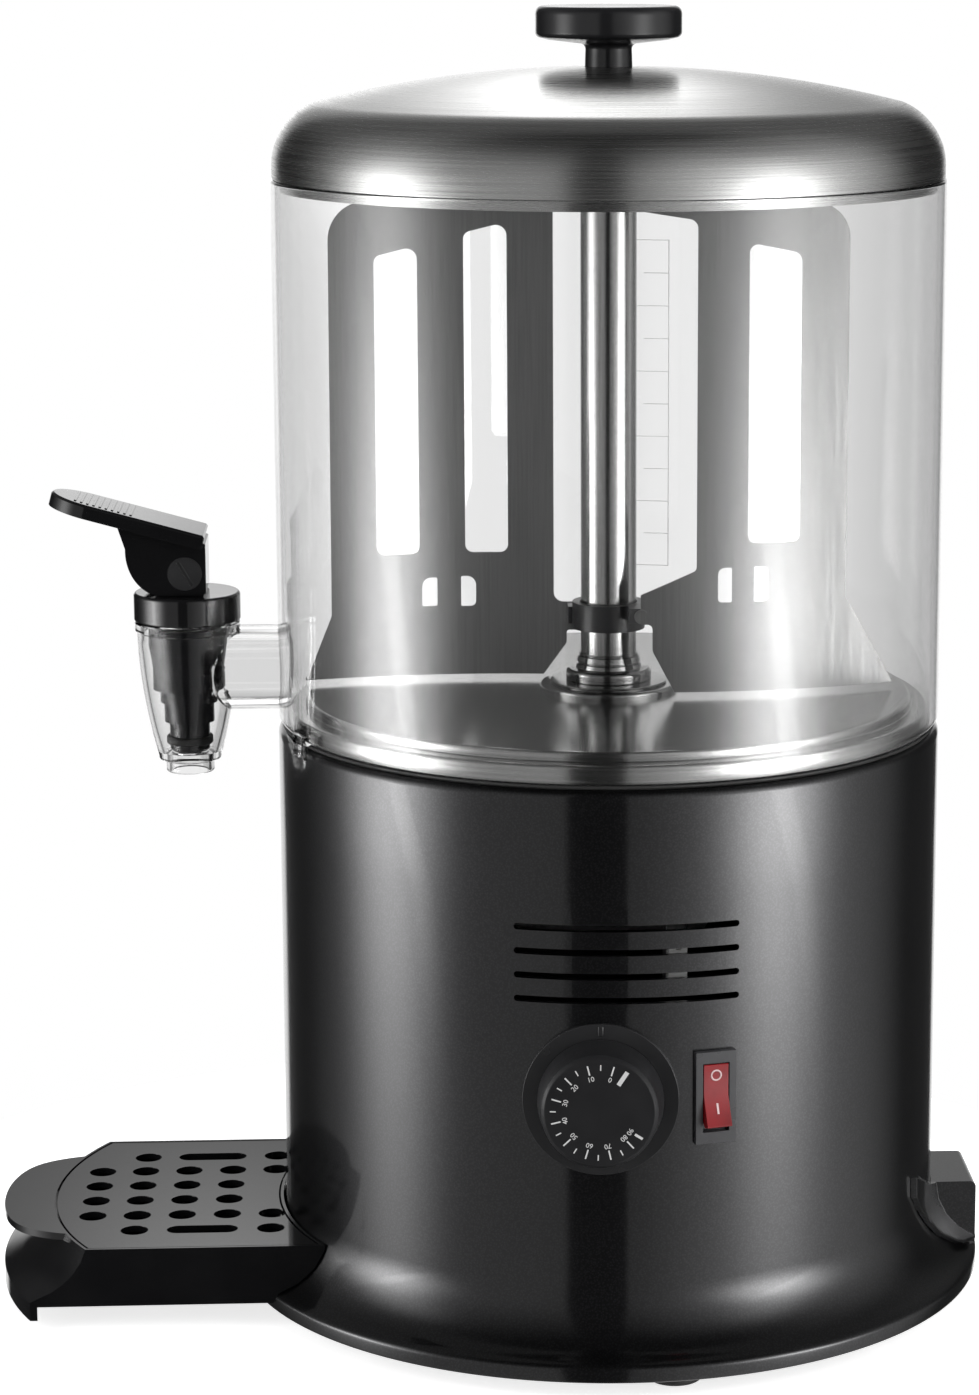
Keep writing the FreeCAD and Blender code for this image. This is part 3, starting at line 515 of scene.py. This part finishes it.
RUBBER = moulded("black_rubber", (0.012, 0.012, 0.012), (0.022, 0.022, 0.022), 0.6,
                 texture=1200.0, depth=0.12)
WHITE_PART = moulded("white_insulator", (0.88, 0.88, 0.87), (0.92, 0.92, 0.91), 0.45)
RAISED_MARKS = moulded("raised_marks", (0.88, 0.88, 0.88), (0.93, 0.93, 0.93), 0.5)
MARKS = moulded("white_marks", (0.62, 0.62, 0.62), (0.7, 0.7, 0.7), 0.4)
PINK_MARKS = moulded("pale_switch_marks", (0.8, 0.6, 0.6), (0.86, 0.66, 0.66), 0.4)
CLEAR = clear_plastic("clear_polycarbonate", 0.93, 1.0)
# The tap's copy of the same clear plastic is darker and barely reflects: painted shade.
SHADED_CLEAR_TAP = clear_plastic("clear_tap_painted_shade", 0.82, 0.15)
LID_STEEL = turned_steel("circular_brushed_steel", (0.46, 0.46, 0.455), 0.26, 2600.0, 0.5)
PAN_STEEL = turned_steel("polished_pan_steel", (0.42, 0.42, 0.415), 0.17, 1800.0, 0.4, depth=0.02)
FOOT_STEEL = turned_steel("turned_foot_steel", (0.3, 0.3, 0.297), 0.15, 1800.0, 0.2, depth=0.01)
TUBE_STEEL = brushed("polished_tube_steel", (0.44, 0.44, 0.436), 0.2, (900.0, 900.0, 9.0))
WING_STEEL = brushed("satin_wing_steel", (0.21, 0.21, 0.208), 0.4, (1400.0, 1400.0, 30.0), depth=0.01)
ZINC = brushed("zinc_plated_steel", (0.5, 0.5, 0.48), 0.38, (300.0, 300.0, 300.0))
DARK_METAL = moulded("dark_painted_steel", (0.04, 0.04, 0.042), (0.06, 0.06, 0.062), 0.42,
                     texture=500.0, depth=0.08)
CAST = moulded("cast_alloy", (0.4, 0.4, 0.41), (0.46, 0.46, 0.47), 0.5, texture=500.0, depth=0.2)
BRASS = brushed("brass", (0.7, 0.52, 0.24), 0.3, (300.0, 300.0, 300.0))
RED = red_lens()


# ------------------------------------------------------------ housing
def make_housing():
    """Flared cover with four slots in its front."""
    edge, lip_edge, flare_edge = 3.0, 0.8, 1.6
    wall_low, wall_high = 128.0, 175.0
    opening, top_sheet = 116.5, 2.5
    inner = BODY_R - BODY_WALL
    lip = [(LIP_IN, LIP_BOTTOM)] + arc(LIP_R - lip_edge, LIP_BOTTOM + lip_edge, lip_edge, -90, 0, 3)
    flare = [(LIP_R, 10.4)] + arc(LIP_R - flare_edge, 11.0, flare_edge, 0, 60, 3)
    flare += arc(BODY_R + COVE_R, COVE_Z, COVE_R, -112.1, -180.0, 12)
    wall = [(BODY_R, wall_low), (BODY_R, wall_high)]
    top = arc(BODY_R - edge, HOUSING_TOP - edge, edge, 0.0, 90.0, 6)
    top += [(opening, HOUSING_TOP), (opening, HOUSING_TOP - top_sheet), (inner, HOUSING_TOP - top_sheet)]
    inside = [(inner, wall_high), (inner, wall_low)]
    inside += arc(BODY_R + COVE_R, COVE_Z, COVE_R + BODY_WALL, -180.0, -115.0, 8)
    foot = [(LIP_IN, inside[-1][1]), (LIP_IN, LIP_BOTTOM)]
    housing = turn("housing_cover", lip + flare + wall + top + inside + foot, steps=240)
    for z in VENT_Z:
        slot = turn("slot_cutter", rectangle(116.0, 128.0, z - VENT_RISE, z + VENT_RISE),
                    steps=40, sweep=2 * VENT_HALF, start=-90.0 - VENT_HALF)
        ends = []
        for side in (-VENT_HALF, VENT_HALF):
            end = rod("slot_end", VENT_RISE, 12.0, (0, 0, 0), "Z", 20)
            ends.append(seat(end, on_panel(side, 122.0, z)))
        cut(housing, slot, *ends)
    smooth(housing, 40)
    stand_for(housing, GUNMETAL, "housing")


make_housing()


# ------------------------------------------------------------ lid and its knob
def dome_height(r):
    """Height of the lid's skin: a shallow crown that rolls over into the rim."""
    if r <= CROWN_R:
        return CROWN_TOP - CROWN_DROP * (r / CROWN_R) ** 2.1
    return RIM_Z + ROLL_HEIGHT * sqrt(max(0.0, 1.0 - ((r - CROWN_R) / ROLL_WIDTH) ** 1.45))


def make_lid():
    """Thin domed sheet with a rim on the bowl's edge and a skirt inside it."""
    bore, roll_steps = 2.0, 16
    skirt_out, skirt_in, rim_in, ledge = 118.8, 118.1, 120.7, 414.8
    crown = [bore] + [8.0 * i for i in range(1, 13)] + [101.0, CROWN_R]
    roll = [CROWN_R + ROLL_WIDTH * sin(radians(90.0 * i / roll_steps)) for i in range(1, roll_steps + 1)]
    skin = [(r, dome_height(r)) for r in crown + roll]
    rim = [(LID_R, BOWL_TOP + 0.6)] + arc(LID_R - 0.5, BOWL_TOP + 0.55, 0.5, 0, -90, 3)
    skirt = [(skirt_out, BOWL_TOP + 0.05), (skirt_out, LID_LOW), (skirt_in, LID_LOW), (skirt_in, ledge)]
    skirt += [(rim_in, ledge), (rim_in, RIM_Z)]
    under = [(r - 0.8, dome_height(r) - 0.9) for r in reversed(crown[1:] + roll[:-3])]
    hole = [(bore, 452.4), (bore, dome_height(bore))]
    lid = turn("lid_dome", skin + rim + skirt + under + hole, steps=256)
    smooth(lid, 40)
    stand_for(lid, LID_STEEL, "lid")


def make_lid_knob():
    """Thick round disc on a short neck."""
    base, neck_top = dome_height(0.0), 459.6
    edge, low_edge = 2.9, 2.2
    neck = [(0, base), (8.6, base), (8.5, base + 4.0), (8.4, neck_top)]
    neck += arc(10.4, neck_top, 2.0, 180, 100, 4)
    low = [(22.0, 463.0)] + arc(KNOB_R - low_edge, 465.8, low_edge, -60, 0, 5)
    disc = arc(KNOB_R - edge, KNOB_TOP - edge, edge, 0, 90, 8) + [(0, KNOB_TOP)]
    knob = turn("lid_grip", neck + low + disc, steps=128)
    smooth(knob, 40)
    even(knob)
    stand_for(knob, BLACK, "lid_knob")


make_lid()
make_lid_knob()


# ------------------------------------------------------------ bowl with its tap barrel
def barrel_radius(z):
    """Radius of the tap's barrel: it widens quickly at its foot and slowly at its top."""
    t = (z - BARREL_LOW) / BARREL_HEIGHT
    return 11.6 + 7.0 * (1.0 - (1.0 - t) ** 1.8)


def bowl_wall():
    foot_round, edge = 3.0, 1.0
    foot = arc(BOWL_OUT - foot_round, BOWL_LOW + foot_round, foot_round, -80.0, 0.0, 8)
    top = arc(BOWL_OUT - edge, BOWL_TOP - edge, edge, 0, 90, 4)
    top += arc(BOWL_IN + edge, BOWL_TOP - edge, edge, 90, 180, 4)
    return turn("bowl_body", [(BOWL_IN, BOWL_LOW)] + foot + top + [(BOWL_IN, BOWL_LOW)], steps=240)


def tap_outside(heights):
    """Spout, barrel and collar in one, with the pipe that leads from the bowl."""
    pipe = rod("pipe", 15.6, 38.0, (TAP_X + 19.0, 0, PIPE_Z), "X", 96)
    spout = [(0, 195.8), (8.2, 195.8)] + arc(8.2, 196.5, 0.7, -90, 0, 3) + [(8.9, 199.8), (9.3, 200.2)]
    spout += arc(10.2, 201.6, 1.4, -90, 0, 5)[:-1]
    taper = [(barrel_radius(z), z) for z in heights]
    collar = [(19.0, 248.8), (19.3, 249.2), (19.3, 251.9), (19.0, 252.3),
              (17.4, 252.4), (17.4, 260.5), (0, 260.5)]
    barrel = turn("barrel", spout + taper + collar, x=TAP_X, steps=120)
    return cut(barrel, pipe, how="UNION")


def tap_hollow(heights):
    """The hollow inside the tap and its pipe, in one."""
    spout = [(0, 190), (6.9, 190), (6.9, 203.6), (9.8, 203.6)]
    inside = [(barrel_radius(z) - TAP_WALL, z) for z in heights if 208.0 < z < 246.0]
    mouth = [(16.0, 247.0), (16.0, 265), (0, 265)]
    cavity = turn("cavity", spout + inside + mouth, x=TAP_X, steps=120)
    bore = rod("bore", 12.35, 43.3, (TAP_X + 21.65, 0, PIPE_Z), "X", 96)
    return cut(cavity, bore, how="UNION")


def make_bowl():
    """Clear bowl in one with its tap, and two lugs under its wall."""
    bowl = bowl_wall()
    core = rod("bowl_core", BOWL_IN + 0.7, 120, (AXIS_X, 0, 250), "Z", 240)
    heights = [BARREL_LOW + BARREL_HEIGHT * i / 12 for i in range(13)]
    outside = tap_outside(heights)
    cut(outside, core)
    cut(bowl, outside, how="UNION")
    cut(bowl, tap_hollow(heights))
    lug = [(122.9, 210.6), (124.0, 210.6), (124.4, 211.0), (124.4, 218.8),
           (121.0, 218.8), (121.0, 216.4), (122.9, 215.6), (122.9, 210.6)]
    lug_sweep = 4.6
    lugs = [turn("locating_lug", lug, steps=8, sweep=lug_sweep, start=angle - lug_sweep / 2)
            for angle in (-156.6, 23.4)]
    cut(bowl, *lugs, how="UNION")
    smooth(bowl, 35)
    even(bowl)
    stand_for(bowl, CLEAR, "bowl")
    bowl.data.materials.append(SHADED_CLEAR_TAP)
    # Faces of the tap take the darker, barely reflecting copy: painted shade on one moulding.
    for p in bowl.data.polygons:
        if p.center.x < (TAP_X + TAP_SHADE_REACH) * MM:
            p.material_index = 1


def make_graduations():
    """Raised lines inside the bowl's far wall: an upright with long and short rungs."""
    inner, outer, line = 118.9, 119.15, 0.28
    upright, long_rung, short_rung = 75.2, 8.0, 4.9
    top_z, step = 381.2, 25.92
    bottom_z = top_z - 5.0 * step

    def strip(low, high, sweep):
        return turn("rung", rectangle(inner, outer, low, high),
                    steps=max(2, round(sweep)), sweep=sweep, start=upright)

    rungs = [strip(bottom_z, top_z, 0.17)]
    for i in range(11):
        z = top_z - 0.5 * step * i
        rungs.append(strip(z - line / 2, z + line / 2, short_rung if i % 2 else long_rung))
    lines = join(*rungs)
    lines.name = "bowl_graduations"
    finish_piece(lines, RAISED_MARKS, "bowl")


make_bowl()
make_graduations()


# ------------------------------------------------------------ column's foot
def make_column_foot():
    """Raised step of the pan, thin washer, round nut and flared sleeve with two grooves."""
    low, bore = PAN_Z, 10.35
    step = [(25.4, low), (25.4, low + 1.3)] + arc(24.2, low + 1.3, 1.2, 0, 90, 5)
    washer = [(20.7, low + 2.5), (20.7, low + 2.75), (21.4, low + 2.8)]
    washer += [(21.6, low + 3.2), (21.3, low + 3.6)]
    nut = [(15.5, low + 3.8), (15.8, low + 4.1)] + arc(14.3, low + 6.5, 1.5, 0, 80, 6) + [(12.5, low + 8.1)]
    flare = [(12.2, low + 8.3), (11.95, low + 9.7), (11.3, low + 9.9), (11.3, low + 10.4)]
    flare += [(11.8, low + 10.6), (11.35, low + 12.6), (10.8, low + 12.8), (10.8, low + 13.2)]
    flare += [(11.1, low + 13.4), (10.9, low + 13.8)]
    inside = [(bore, low + 13.8), (bore, low)]
    foot = turn("tube_foot", [(bore, low)] + step + washer + nut + flare + inside, steps=144)
    smooth(foot, 40)
    even(foot)
    stand_for(foot, FOOT_STEEL, "column_foot")


make_column_foot()


# ------------------------------------------------------------ pieces refined from their solids
# Node, name of the piece, material, width of its rounded edges and the segments in them.
REFINED = (
    ("long_wing", "paddle_long_wing", WING_STEEL, 0.2, 2),
    ("short_wing", "paddle_short_wing", WING_STEEL, 0.2, 2),
    ("guide_collar", "paddle_collar", PIN_BLACK, 0.3, 2),
    ("drive_hub", "paddle_hub", BLACK, 0.3, 2),
    ("column", "centre_tube", TUBE_STEEL, 0.3, 2),
    ("pan", "bowl_floor", PAN_STEEL, 0.5, 3),
    ("bowl_seal", "seal_ring", RUBBER, 0.2, 2),
    ("rear_block", "cable_box", GUNMETAL, 0.6, 3),
    ("drip_tray", "tray_body", BLACK_MIRROR, 0.5, 3),
    ("drip_grid", "tray_grid", BLACK_MIRROR, 0.35, 2),
    ("tap_cap", "tap_cap_ring", BLACK_MIRROR, 0.5, 3),
    ("plunger", "valve_plug", BLACK, 0.3, 2),
    ("tap_lever", "lever_pad", BLACK_MIRROR, 0.35, 2),
    ("lever_pin", "lever_pin_head", PIN_BLACK, 0.25, 2),
    ("feet", "rubber_feet", RUBBER, 0.5, 2),
    ("dial_bezel", "dial_disc", BEZEL_BLACK, 0.5, 3),
    ("dial_knob", "dial_grip", BLACK_SATIN, 0.4, 3),
    ("switch_body", "switch_frame", GREY_FRAME, 0.3, 2),
    ("switch_rocker", "rocker_button", RED, 0.35, 3),
    ("base_plate", "floor_plate", DARK_METAL, 0.2, 2),
)
# Blocks that are cut off a piece: name, size and centre.
TRIMMED = {"short_wing": ("tab_end", (6.8, 15, 18), (AXIS_X + 7.4, -17.5, 255))}

for node, name, material, width, segments in REFINED:
    block = bar(*TRIMMED[node]) if node in TRIMMED else None
    stand_for(refined(node, name, width, segments, away=block), material, node)


def make_spring():
    """Return spring, given a mesh of its own: its foot rides on the valve plug and its head stays under the cap.
    """
    spring = refined("tap_spring", "return_spring", angle=70.0)
    stand_for(spring, ZINC, "tap_spring")
    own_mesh(spring)


make_spring()


# ------------------------------------------------------------ scale on the dial and marks on the switch
MARK_LIFT = 0.02
NUMERAL_R, NUMERAL_SIZE = 12.2, 2.5


def dial_place(angle, radius, lift):
    """Place on the dial's face, angle counter-clockwise from the top as seen from the front."""
    spot = Matrix.Rotation(radians(angle), 4, "Z") @ Matrix.Translation((0, radius * MM, lift * MM))
    return on_panel(DIAL_AZ, DIAL_FACE, DIAL_Z) @ spot


def tick(angle, inner, outer, width):
    mark = bar("tick", (width, outer - inner, 0.12), (0, 0, 0))
    return seat(mark, dial_place(angle, (inner + outer) / 2, MARK_LIFT))


def numeral(text, angle, radius):
    deselect()
    bpy.ops.object.text_add(location=(0, 0, 0))
    label = bpy.context.object
    label.data.body = text
    label.data.align_x = "CENTER"
    label.data.align_y = "CENTER"
    label.data.size = NUMERAL_SIZE * MM
    label.data.extrude = 0.05 * MM
    label.data.resolution_u = 3
    bpy.ops.object.convert(target="MESH")
    label = bpy.context.object
    return seat(label, dial_place(angle, radius, MARK_LIFT))


def scale_angle(value):
    """Dial angle of a scale value: the divisions are a little wider up to ten than above it."""
    if value <= 10:
        return -16.8 + 3.11 * value
    return 14.3 + 2.98 * (value - 10)


def make_scale():
    """Bar at the off place, a tick at every fifth value up to 80, and a last tick and numeral for 90."""
    marks = [tick(-33.0, 11.8, 17.4, 1.5)]
    for value in range(0, 81, 5):
        if value % 10 == 0:
            marks.append(tick(scale_angle(value), 13.8, 17.2, 0.5))
        else:
            marks.append(tick(scale_angle(value), 15.1, 17.1, 0.4))
    marks.append(tick(237.9, 14.3, 17.4, 0.9))
    for value in range(0, 81, 10):
        marks.append(numeral(str(value), scale_angle(value), NUMERAL_R))
    marks.append(numeral("90", 237.4, 12.3))
    scale = join(*marks)
    scale.name = "dial_scale"
    finish_piece(scale, MARKS, "dial_knob")


def make_switch_marks():
    """Ring on the upper half of the rocker and bar on the lower half."""
    face = on_panel(SWITCH_AZ, 0.0, 0.0)
    face.translation = Vector(JOINTS["rocker_tilt"]["pos_m"])
    tip = face @ Matrix.Rotation(radians(-12.0), 4, "X")
    half_slope = degrees(asin(2.35 / 11.0))

    def on_half(slope, along):
        half = Matrix.Translation((0, 0, 3.9 * MM)) @ Matrix.Rotation(radians(slope), 4, "X")
        return tip @ half @ Matrix.Translation((0, along * MM, 0.0))

    deselect()
    bpy.ops.mesh.primitive_torus_add(major_segments=40, minor_segments=8,
                                     major_radius=1.75 * MM, minor_radius=0.3 * MM)
    ring = bpy.context.object
    ring.name = "off_ring"
    seat(ring, on_half(half_slope, 7.3))
    line = bar("on_bar", (0.7, 3.8, 0.3), (0, 0, 0))
    seat(line, on_half(-half_slope, -4.7))
    marks = join(ring, line)
    marks.name = "rocker_marks"
    smooth(marks, 40)
    finish_piece(marks, PINK_MARKS, "switch_rocker")


make_scale()
make_switch_marks()


# ------------------------------------------------------------ nodes that stay as they are
PLAIN = {
    "foot_screws": ZINC, "base_screws": ZINC, "cable_bush": RUBBER, "column_nut": BRASS,
    "bushes": WHITE_PART, "drive_shaft": TUBE_STEEL, "coupler": ZINC, "gearbox": CAST,
    "motor": DARK_METAL, "motor_bracket": DARK_METAL, "bracket_screws": ZINC, "heater": DARK_METAL,
    "terminal_block": WHITE_PART, "wing_rivets": WING_STEEL, "lid_screw": ZINC,
    "plunger_seal": RUBBER, "thermostat": DARK_METAL, "thermostat_shaft": ZINC,
}
for node, material in PLAIN.items():
    piece = frame["nodes"][node]
    piece.data.materials.clear()
    piece.data.materials.append(material)


# ------------------------------------------------------------ floor, light and camera, in metres
MIDDLE_Z = 0.24

# Name, place, the point that it faces, half width, half height and strength.
LIGHT_BANKS = (
    ("left_bank", (-0.795, -0.2, 0.09), (-0.04, -0.085, 0.09), 0.24, 0.19, 7.6),
    ("left_fill", (-0.795, -0.2, 0.2), (-0.04, -0.085, 0.2), 0.22, 0.45, 2.7),
    ("right_bank", (0.72, -0.534, 0.09), (0.1, -0.108, 0.09), 0.24, 0.19, 8.4),
    ("right_fill", (0.72, -0.534, 0.2), (0.1, -0.108, 0.2), 0.21, 0.45, 2.3),
    ("back_bank", (0.075, 1.0, 0.95), (0.045, 0.05, 0.45), 0.14, 0.2, 4.0),
    ("back_fill", (-0.02, 1.02, 0.72), (0.0, 0.05, 0.45), 0.22, 0.22, 0.5),
    ("pad_bank", (-0.16, 1.0, 0.47), (-0.14, 0.0, 0.28), 0.12, 0.11, 0.9),
)
# Name, azimuth and elevation in degrees, distance, width, height and power in watts.
SOFTBOXES = (
    ("left_softbox", -70.0, 12.0, 1.5, 0.8, 1.2, 12.0),
    ("right_softbox", 58.0, 12.0, 1.5, 0.8, 1.2, 14.0),
    ("top_softbox", 170.0, 70.0, 1.3, 1.0, 1.0, 12.0),
)
# The camera's tilt is from straight down and its turn is round the upright, in degrees.
CAMERA_PLACE = (-0.0310, -1.3948, 0.5092)
CAMERA_TILT, CAMERA_TURN = 78.36, -3.1
LENS_MM, SIDE_SHIFT = 98.9, -0.0854


def fade(tree, value, dark, bright):
    """Smooth step from 0 where the value is dark to 1 where it is bright."""
    m = tree.nodes.new("ShaderNodeMapRange")
    m.interpolation_type = "SMOOTHSTEP"
    low, high = min(dark, bright), max(dark, bright)
    m.inputs["From Min"].default_value = low
    m.inputs["From Max"].default_value = high
    m.inputs["To Min"].default_value = 0.0 if dark < bright else 1.0
    m.inputs["To Max"].default_value = 1.0 if dark < bright else 0.0
    tree.links.new(value, m.inputs["Value"])
    return m.outputs["Result"]


def at_least(tree, least, value):
    """Value from 0 to 1 that is lifted, so that it never falls below the least."""
    return plus(tree, times(tree, value, 1.0 - least), least)


def in_degrees(tree, angle):
    return times(tree, angle, 180.0 / pi)


def glow_at(tree, value, width):
    """Bell curve about zero."""
    off = math_node(tree, "DIVIDE", value, width)
    return math_node(tree, "EXPONENT", times(tree, off, off, -1.0))


def make_floor():
    """Pale floor that takes the machine's shadow and is near white to the camera."""
    deselect()
    bpy.ops.mesh.primitive_circle_add(vertices=128, radius=0.28, fill_type="NGON", location=(0, 0, 0))
    floor = bpy.context.object
    floor.name = "studio_floor"
    mat, tree, shader = new_material("pale_floor", (0.8, 0.8, 0.8), 0.6)
    shader.inputs["Specular IOR Level"].default_value = 0.2
    path = tree.nodes.new("ShaderNodeLightPath")
    glow = tree.nodes.new("ShaderNodeEmission")
    seen = math_node(tree, "MAXIMUM", path.outputs["Is Camera Ray"], path.outputs["Is Transmission Ray"])
    tree.links.new(times(tree, seen, 0.75), glow.inputs["Strength"])
    both = tree.nodes.new("ShaderNodeAddShader")
    tree.links.new(shader.outputs["BSDF"], both.inputs[0])
    tree.links.new(glow.outputs["Emission"], both.inputs[1])
    show_instead(tree, both.outputs["Shader"])
    floor.data.materials.append(mat)
    floor.visible_glossy = False


def studio(tree, through):
    """Brightness of the studio by direction: white behind the machine, dim screens beside the camera's
    dark gap and a dark ceiling. Through clear plastic the white wall reaches further round."""
    where = tree.nodes.new("ShaderNodeTexCoord")
    x, y, z = axes(tree, where.outputs["Generated"])
    side = in_degrees(tree, math_node(tree, "ARCTAN2", x, times(tree, y, -1.0)))
    behind = in_degrees(tree, math_node(tree, "ARCTAN2", x, y))
    rise = in_degrees(tree, math_node(tree, "ARCSINE", z))
    turned_away = math_node(tree, "ABSOLUTE", side)

    left = times(tree, fade(tree, side, -15.0, -19.0), fade(tree, turned_away, 135.0, 88.0), 0.85)
    growth = plus(tree, fade(tree, side, 4.0, 36.0), 0.7)
    right = times(tree, fade(tree, side, 2.0, 4.5), fade(tree, turned_away, 125.0, 75.0), growth)
    screens = times(tree, plus(tree, left, right), fade(tree, rise, 75.0, 5.0), 0.5)

    low_wall = at_least(tree, 0.3, fade(tree, rise, 13.0, 1.0))
    wall = times(tree, fade(tree, turned_away, 156.0, 162.0), low_wall, fade(tree, rise, 62.0, 42.0))

    right_loss = times(tree, fade(tree, behind, 5.5, 8.0), 0.28)
    off_level = math_node(tree, "ABSOLUTE", plus(tree, rise, 8.0))
    clear_wall = times(tree, fade(tree, turned_away, 126.0, 152.0),
                       math_node(tree, "SUBTRACT", 1.0, right_loss),
                       at_least(tree, 0.25, fade(tree, off_level, 34.0, 12.0)))
    clear_sides = times(tree, fade(tree, turned_away, 40.0, 75.0), 0.2)
    clear_wall = math_node(tree, "MAXIMUM", clear_wall, clear_sides)

    mirrored = times(tree, wall, math_node(tree, "SUBTRACT", 1.0, through))
    back = plus(tree, mirrored, times(tree, clear_wall, through))
    ceiling = times(tree, fade(tree, rise, 12.0, 35.0), fade(tree, turned_away, 75.0, 110.0), 0.1)
    return plus(tree, plus(tree, screens, back), plus(tree, ceiling, 0.03))


def light_bank(name, place, towards, half_width, half_height, strength):
    """Soft bank of light, brightest in its middle, that only gloss, metal and clear plastic see."""
    deselect()
    bpy.ops.mesh.primitive_plane_add(size=5.0 * max(half_width, half_height), location=place)
    bank = bpy.context.object
    bank.name = name
    bank.rotation_euler = (Vector(towards) - Vector(place)).to_track_quat("Z", "Y").to_euler()
    mat, tree = new_material(name + "_glow", (0.0, 0.0, 0.0), 1.0)[:2]
    where = tree.nodes.new("ShaderNodeTexCoord")
    x, y = axes(tree, where.outputs["Object"])[:2]
    level = times(tree, glow_at(tree, x, half_width), glow_at(tree, y, half_height), strength)
    glow = tree.nodes.new("ShaderNodeEmission")
    tree.links.new(level, glow.inputs["Strength"])
    clear = tree.nodes.new("ShaderNodeBsdfTransparent")
    both = tree.nodes.new("ShaderNodeAddShader")
    tree.links.new(glow.outputs["Emission"], both.inputs[0])
    tree.links.new(clear.outputs["BSDF"], both.inputs[1])
    show_instead(tree, both.outputs["Shader"])
    mat.cycles.emission_sampling = "NONE"
    bank.data.materials.append(mat)
    bank.visible_camera = False
    bank.visible_diffuse = False
    bank.visible_shadow = False


def make_world():
    """White for the camera; gloss, metal and clear plastic see the studio, and the rest gets even light."""
    world = bpy.data.worlds.new("studio")
    bpy.context.scene.world = world
    world.use_nodes = True
    world.cycles.sampling_method = "NONE"
    tree = world.node_tree
    back = tree.nodes["Background"]
    back.inputs["Color"].default_value = (1.0, 1.0, 1.0, 1.0)
    path = tree.nodes.new("ShaderNodeLightPath")
    mirrored = math_node(tree, "MAXIMUM", path.outputs["Is Glossy Ray"], path.outputs["Is Transmission Ray"])
    mix = tree.nodes.new("ShaderNodeMix")
    tree.links.new(mirrored, mix.inputs["Factor"])
    mix.inputs["A"].default_value = 0.5
    tree.links.new(studio(tree, path.outputs["Is Transmission Ray"]), mix.inputs["B"])
    last = tree.nodes.new("ShaderNodeMix")
    tree.links.new(path.outputs["Is Camera Ray"], last.inputs["Factor"])
    tree.links.new(mix.outputs["Result"], last.inputs["A"])
    last.inputs["B"].default_value = 1.0
    tree.links.new(last.outputs["Result"], back.inputs["Strength"])


def softbox(name, azimuth, elevation, distance, width, height, power):
    """Rectangular lamp on a circle round the machine that faces its middle."""
    a, e = radians(azimuth), radians(elevation)
    middle = Vector((AXIS_X * MM, 0, MIDDLE_Z))
    back = Vector((sin(a) * cos(e), -cos(a) * cos(e), sin(e)))
    bpy.ops.object.light_add(type="AREA", location=middle + back * distance)
    lamp = bpy.context.object
    lamp.name = name
    lamp.data.shape = "RECTANGLE"
    lamp.data.size = width
    lamp.data.size_y = height
    lamp.data.energy = power
    lamp.rotation_euler = (-back).to_track_quat("-Z", "Y").to_euler()
    lamp.visible_glossy = False
    lamp.visible_transmission = False


def make_camera():
    data = bpy.data.cameras.new("view")
    camera = bpy.data.objects.new("view", data)
    bpy.context.scene.collection.objects.link(camera)
    camera.location = CAMERA_PLACE
    camera.rotation_euler = (radians(CAMERA_TILT), 0.0, radians(CAMERA_TURN))
    data.lens = LENS_MM
    data.shift_x = SIDE_SHIFT
    data.clip_start = 0.05
    bpy.context.scene.camera = camera


make_floor()
make_world()
for bank in LIGHT_BANKS:
    light_bank(*bank)
for lamp in SOFTBOXES:
    softbox(*lamp)
make_camera()
bpy.context.scene.view_settings.view_transform = "Standard"
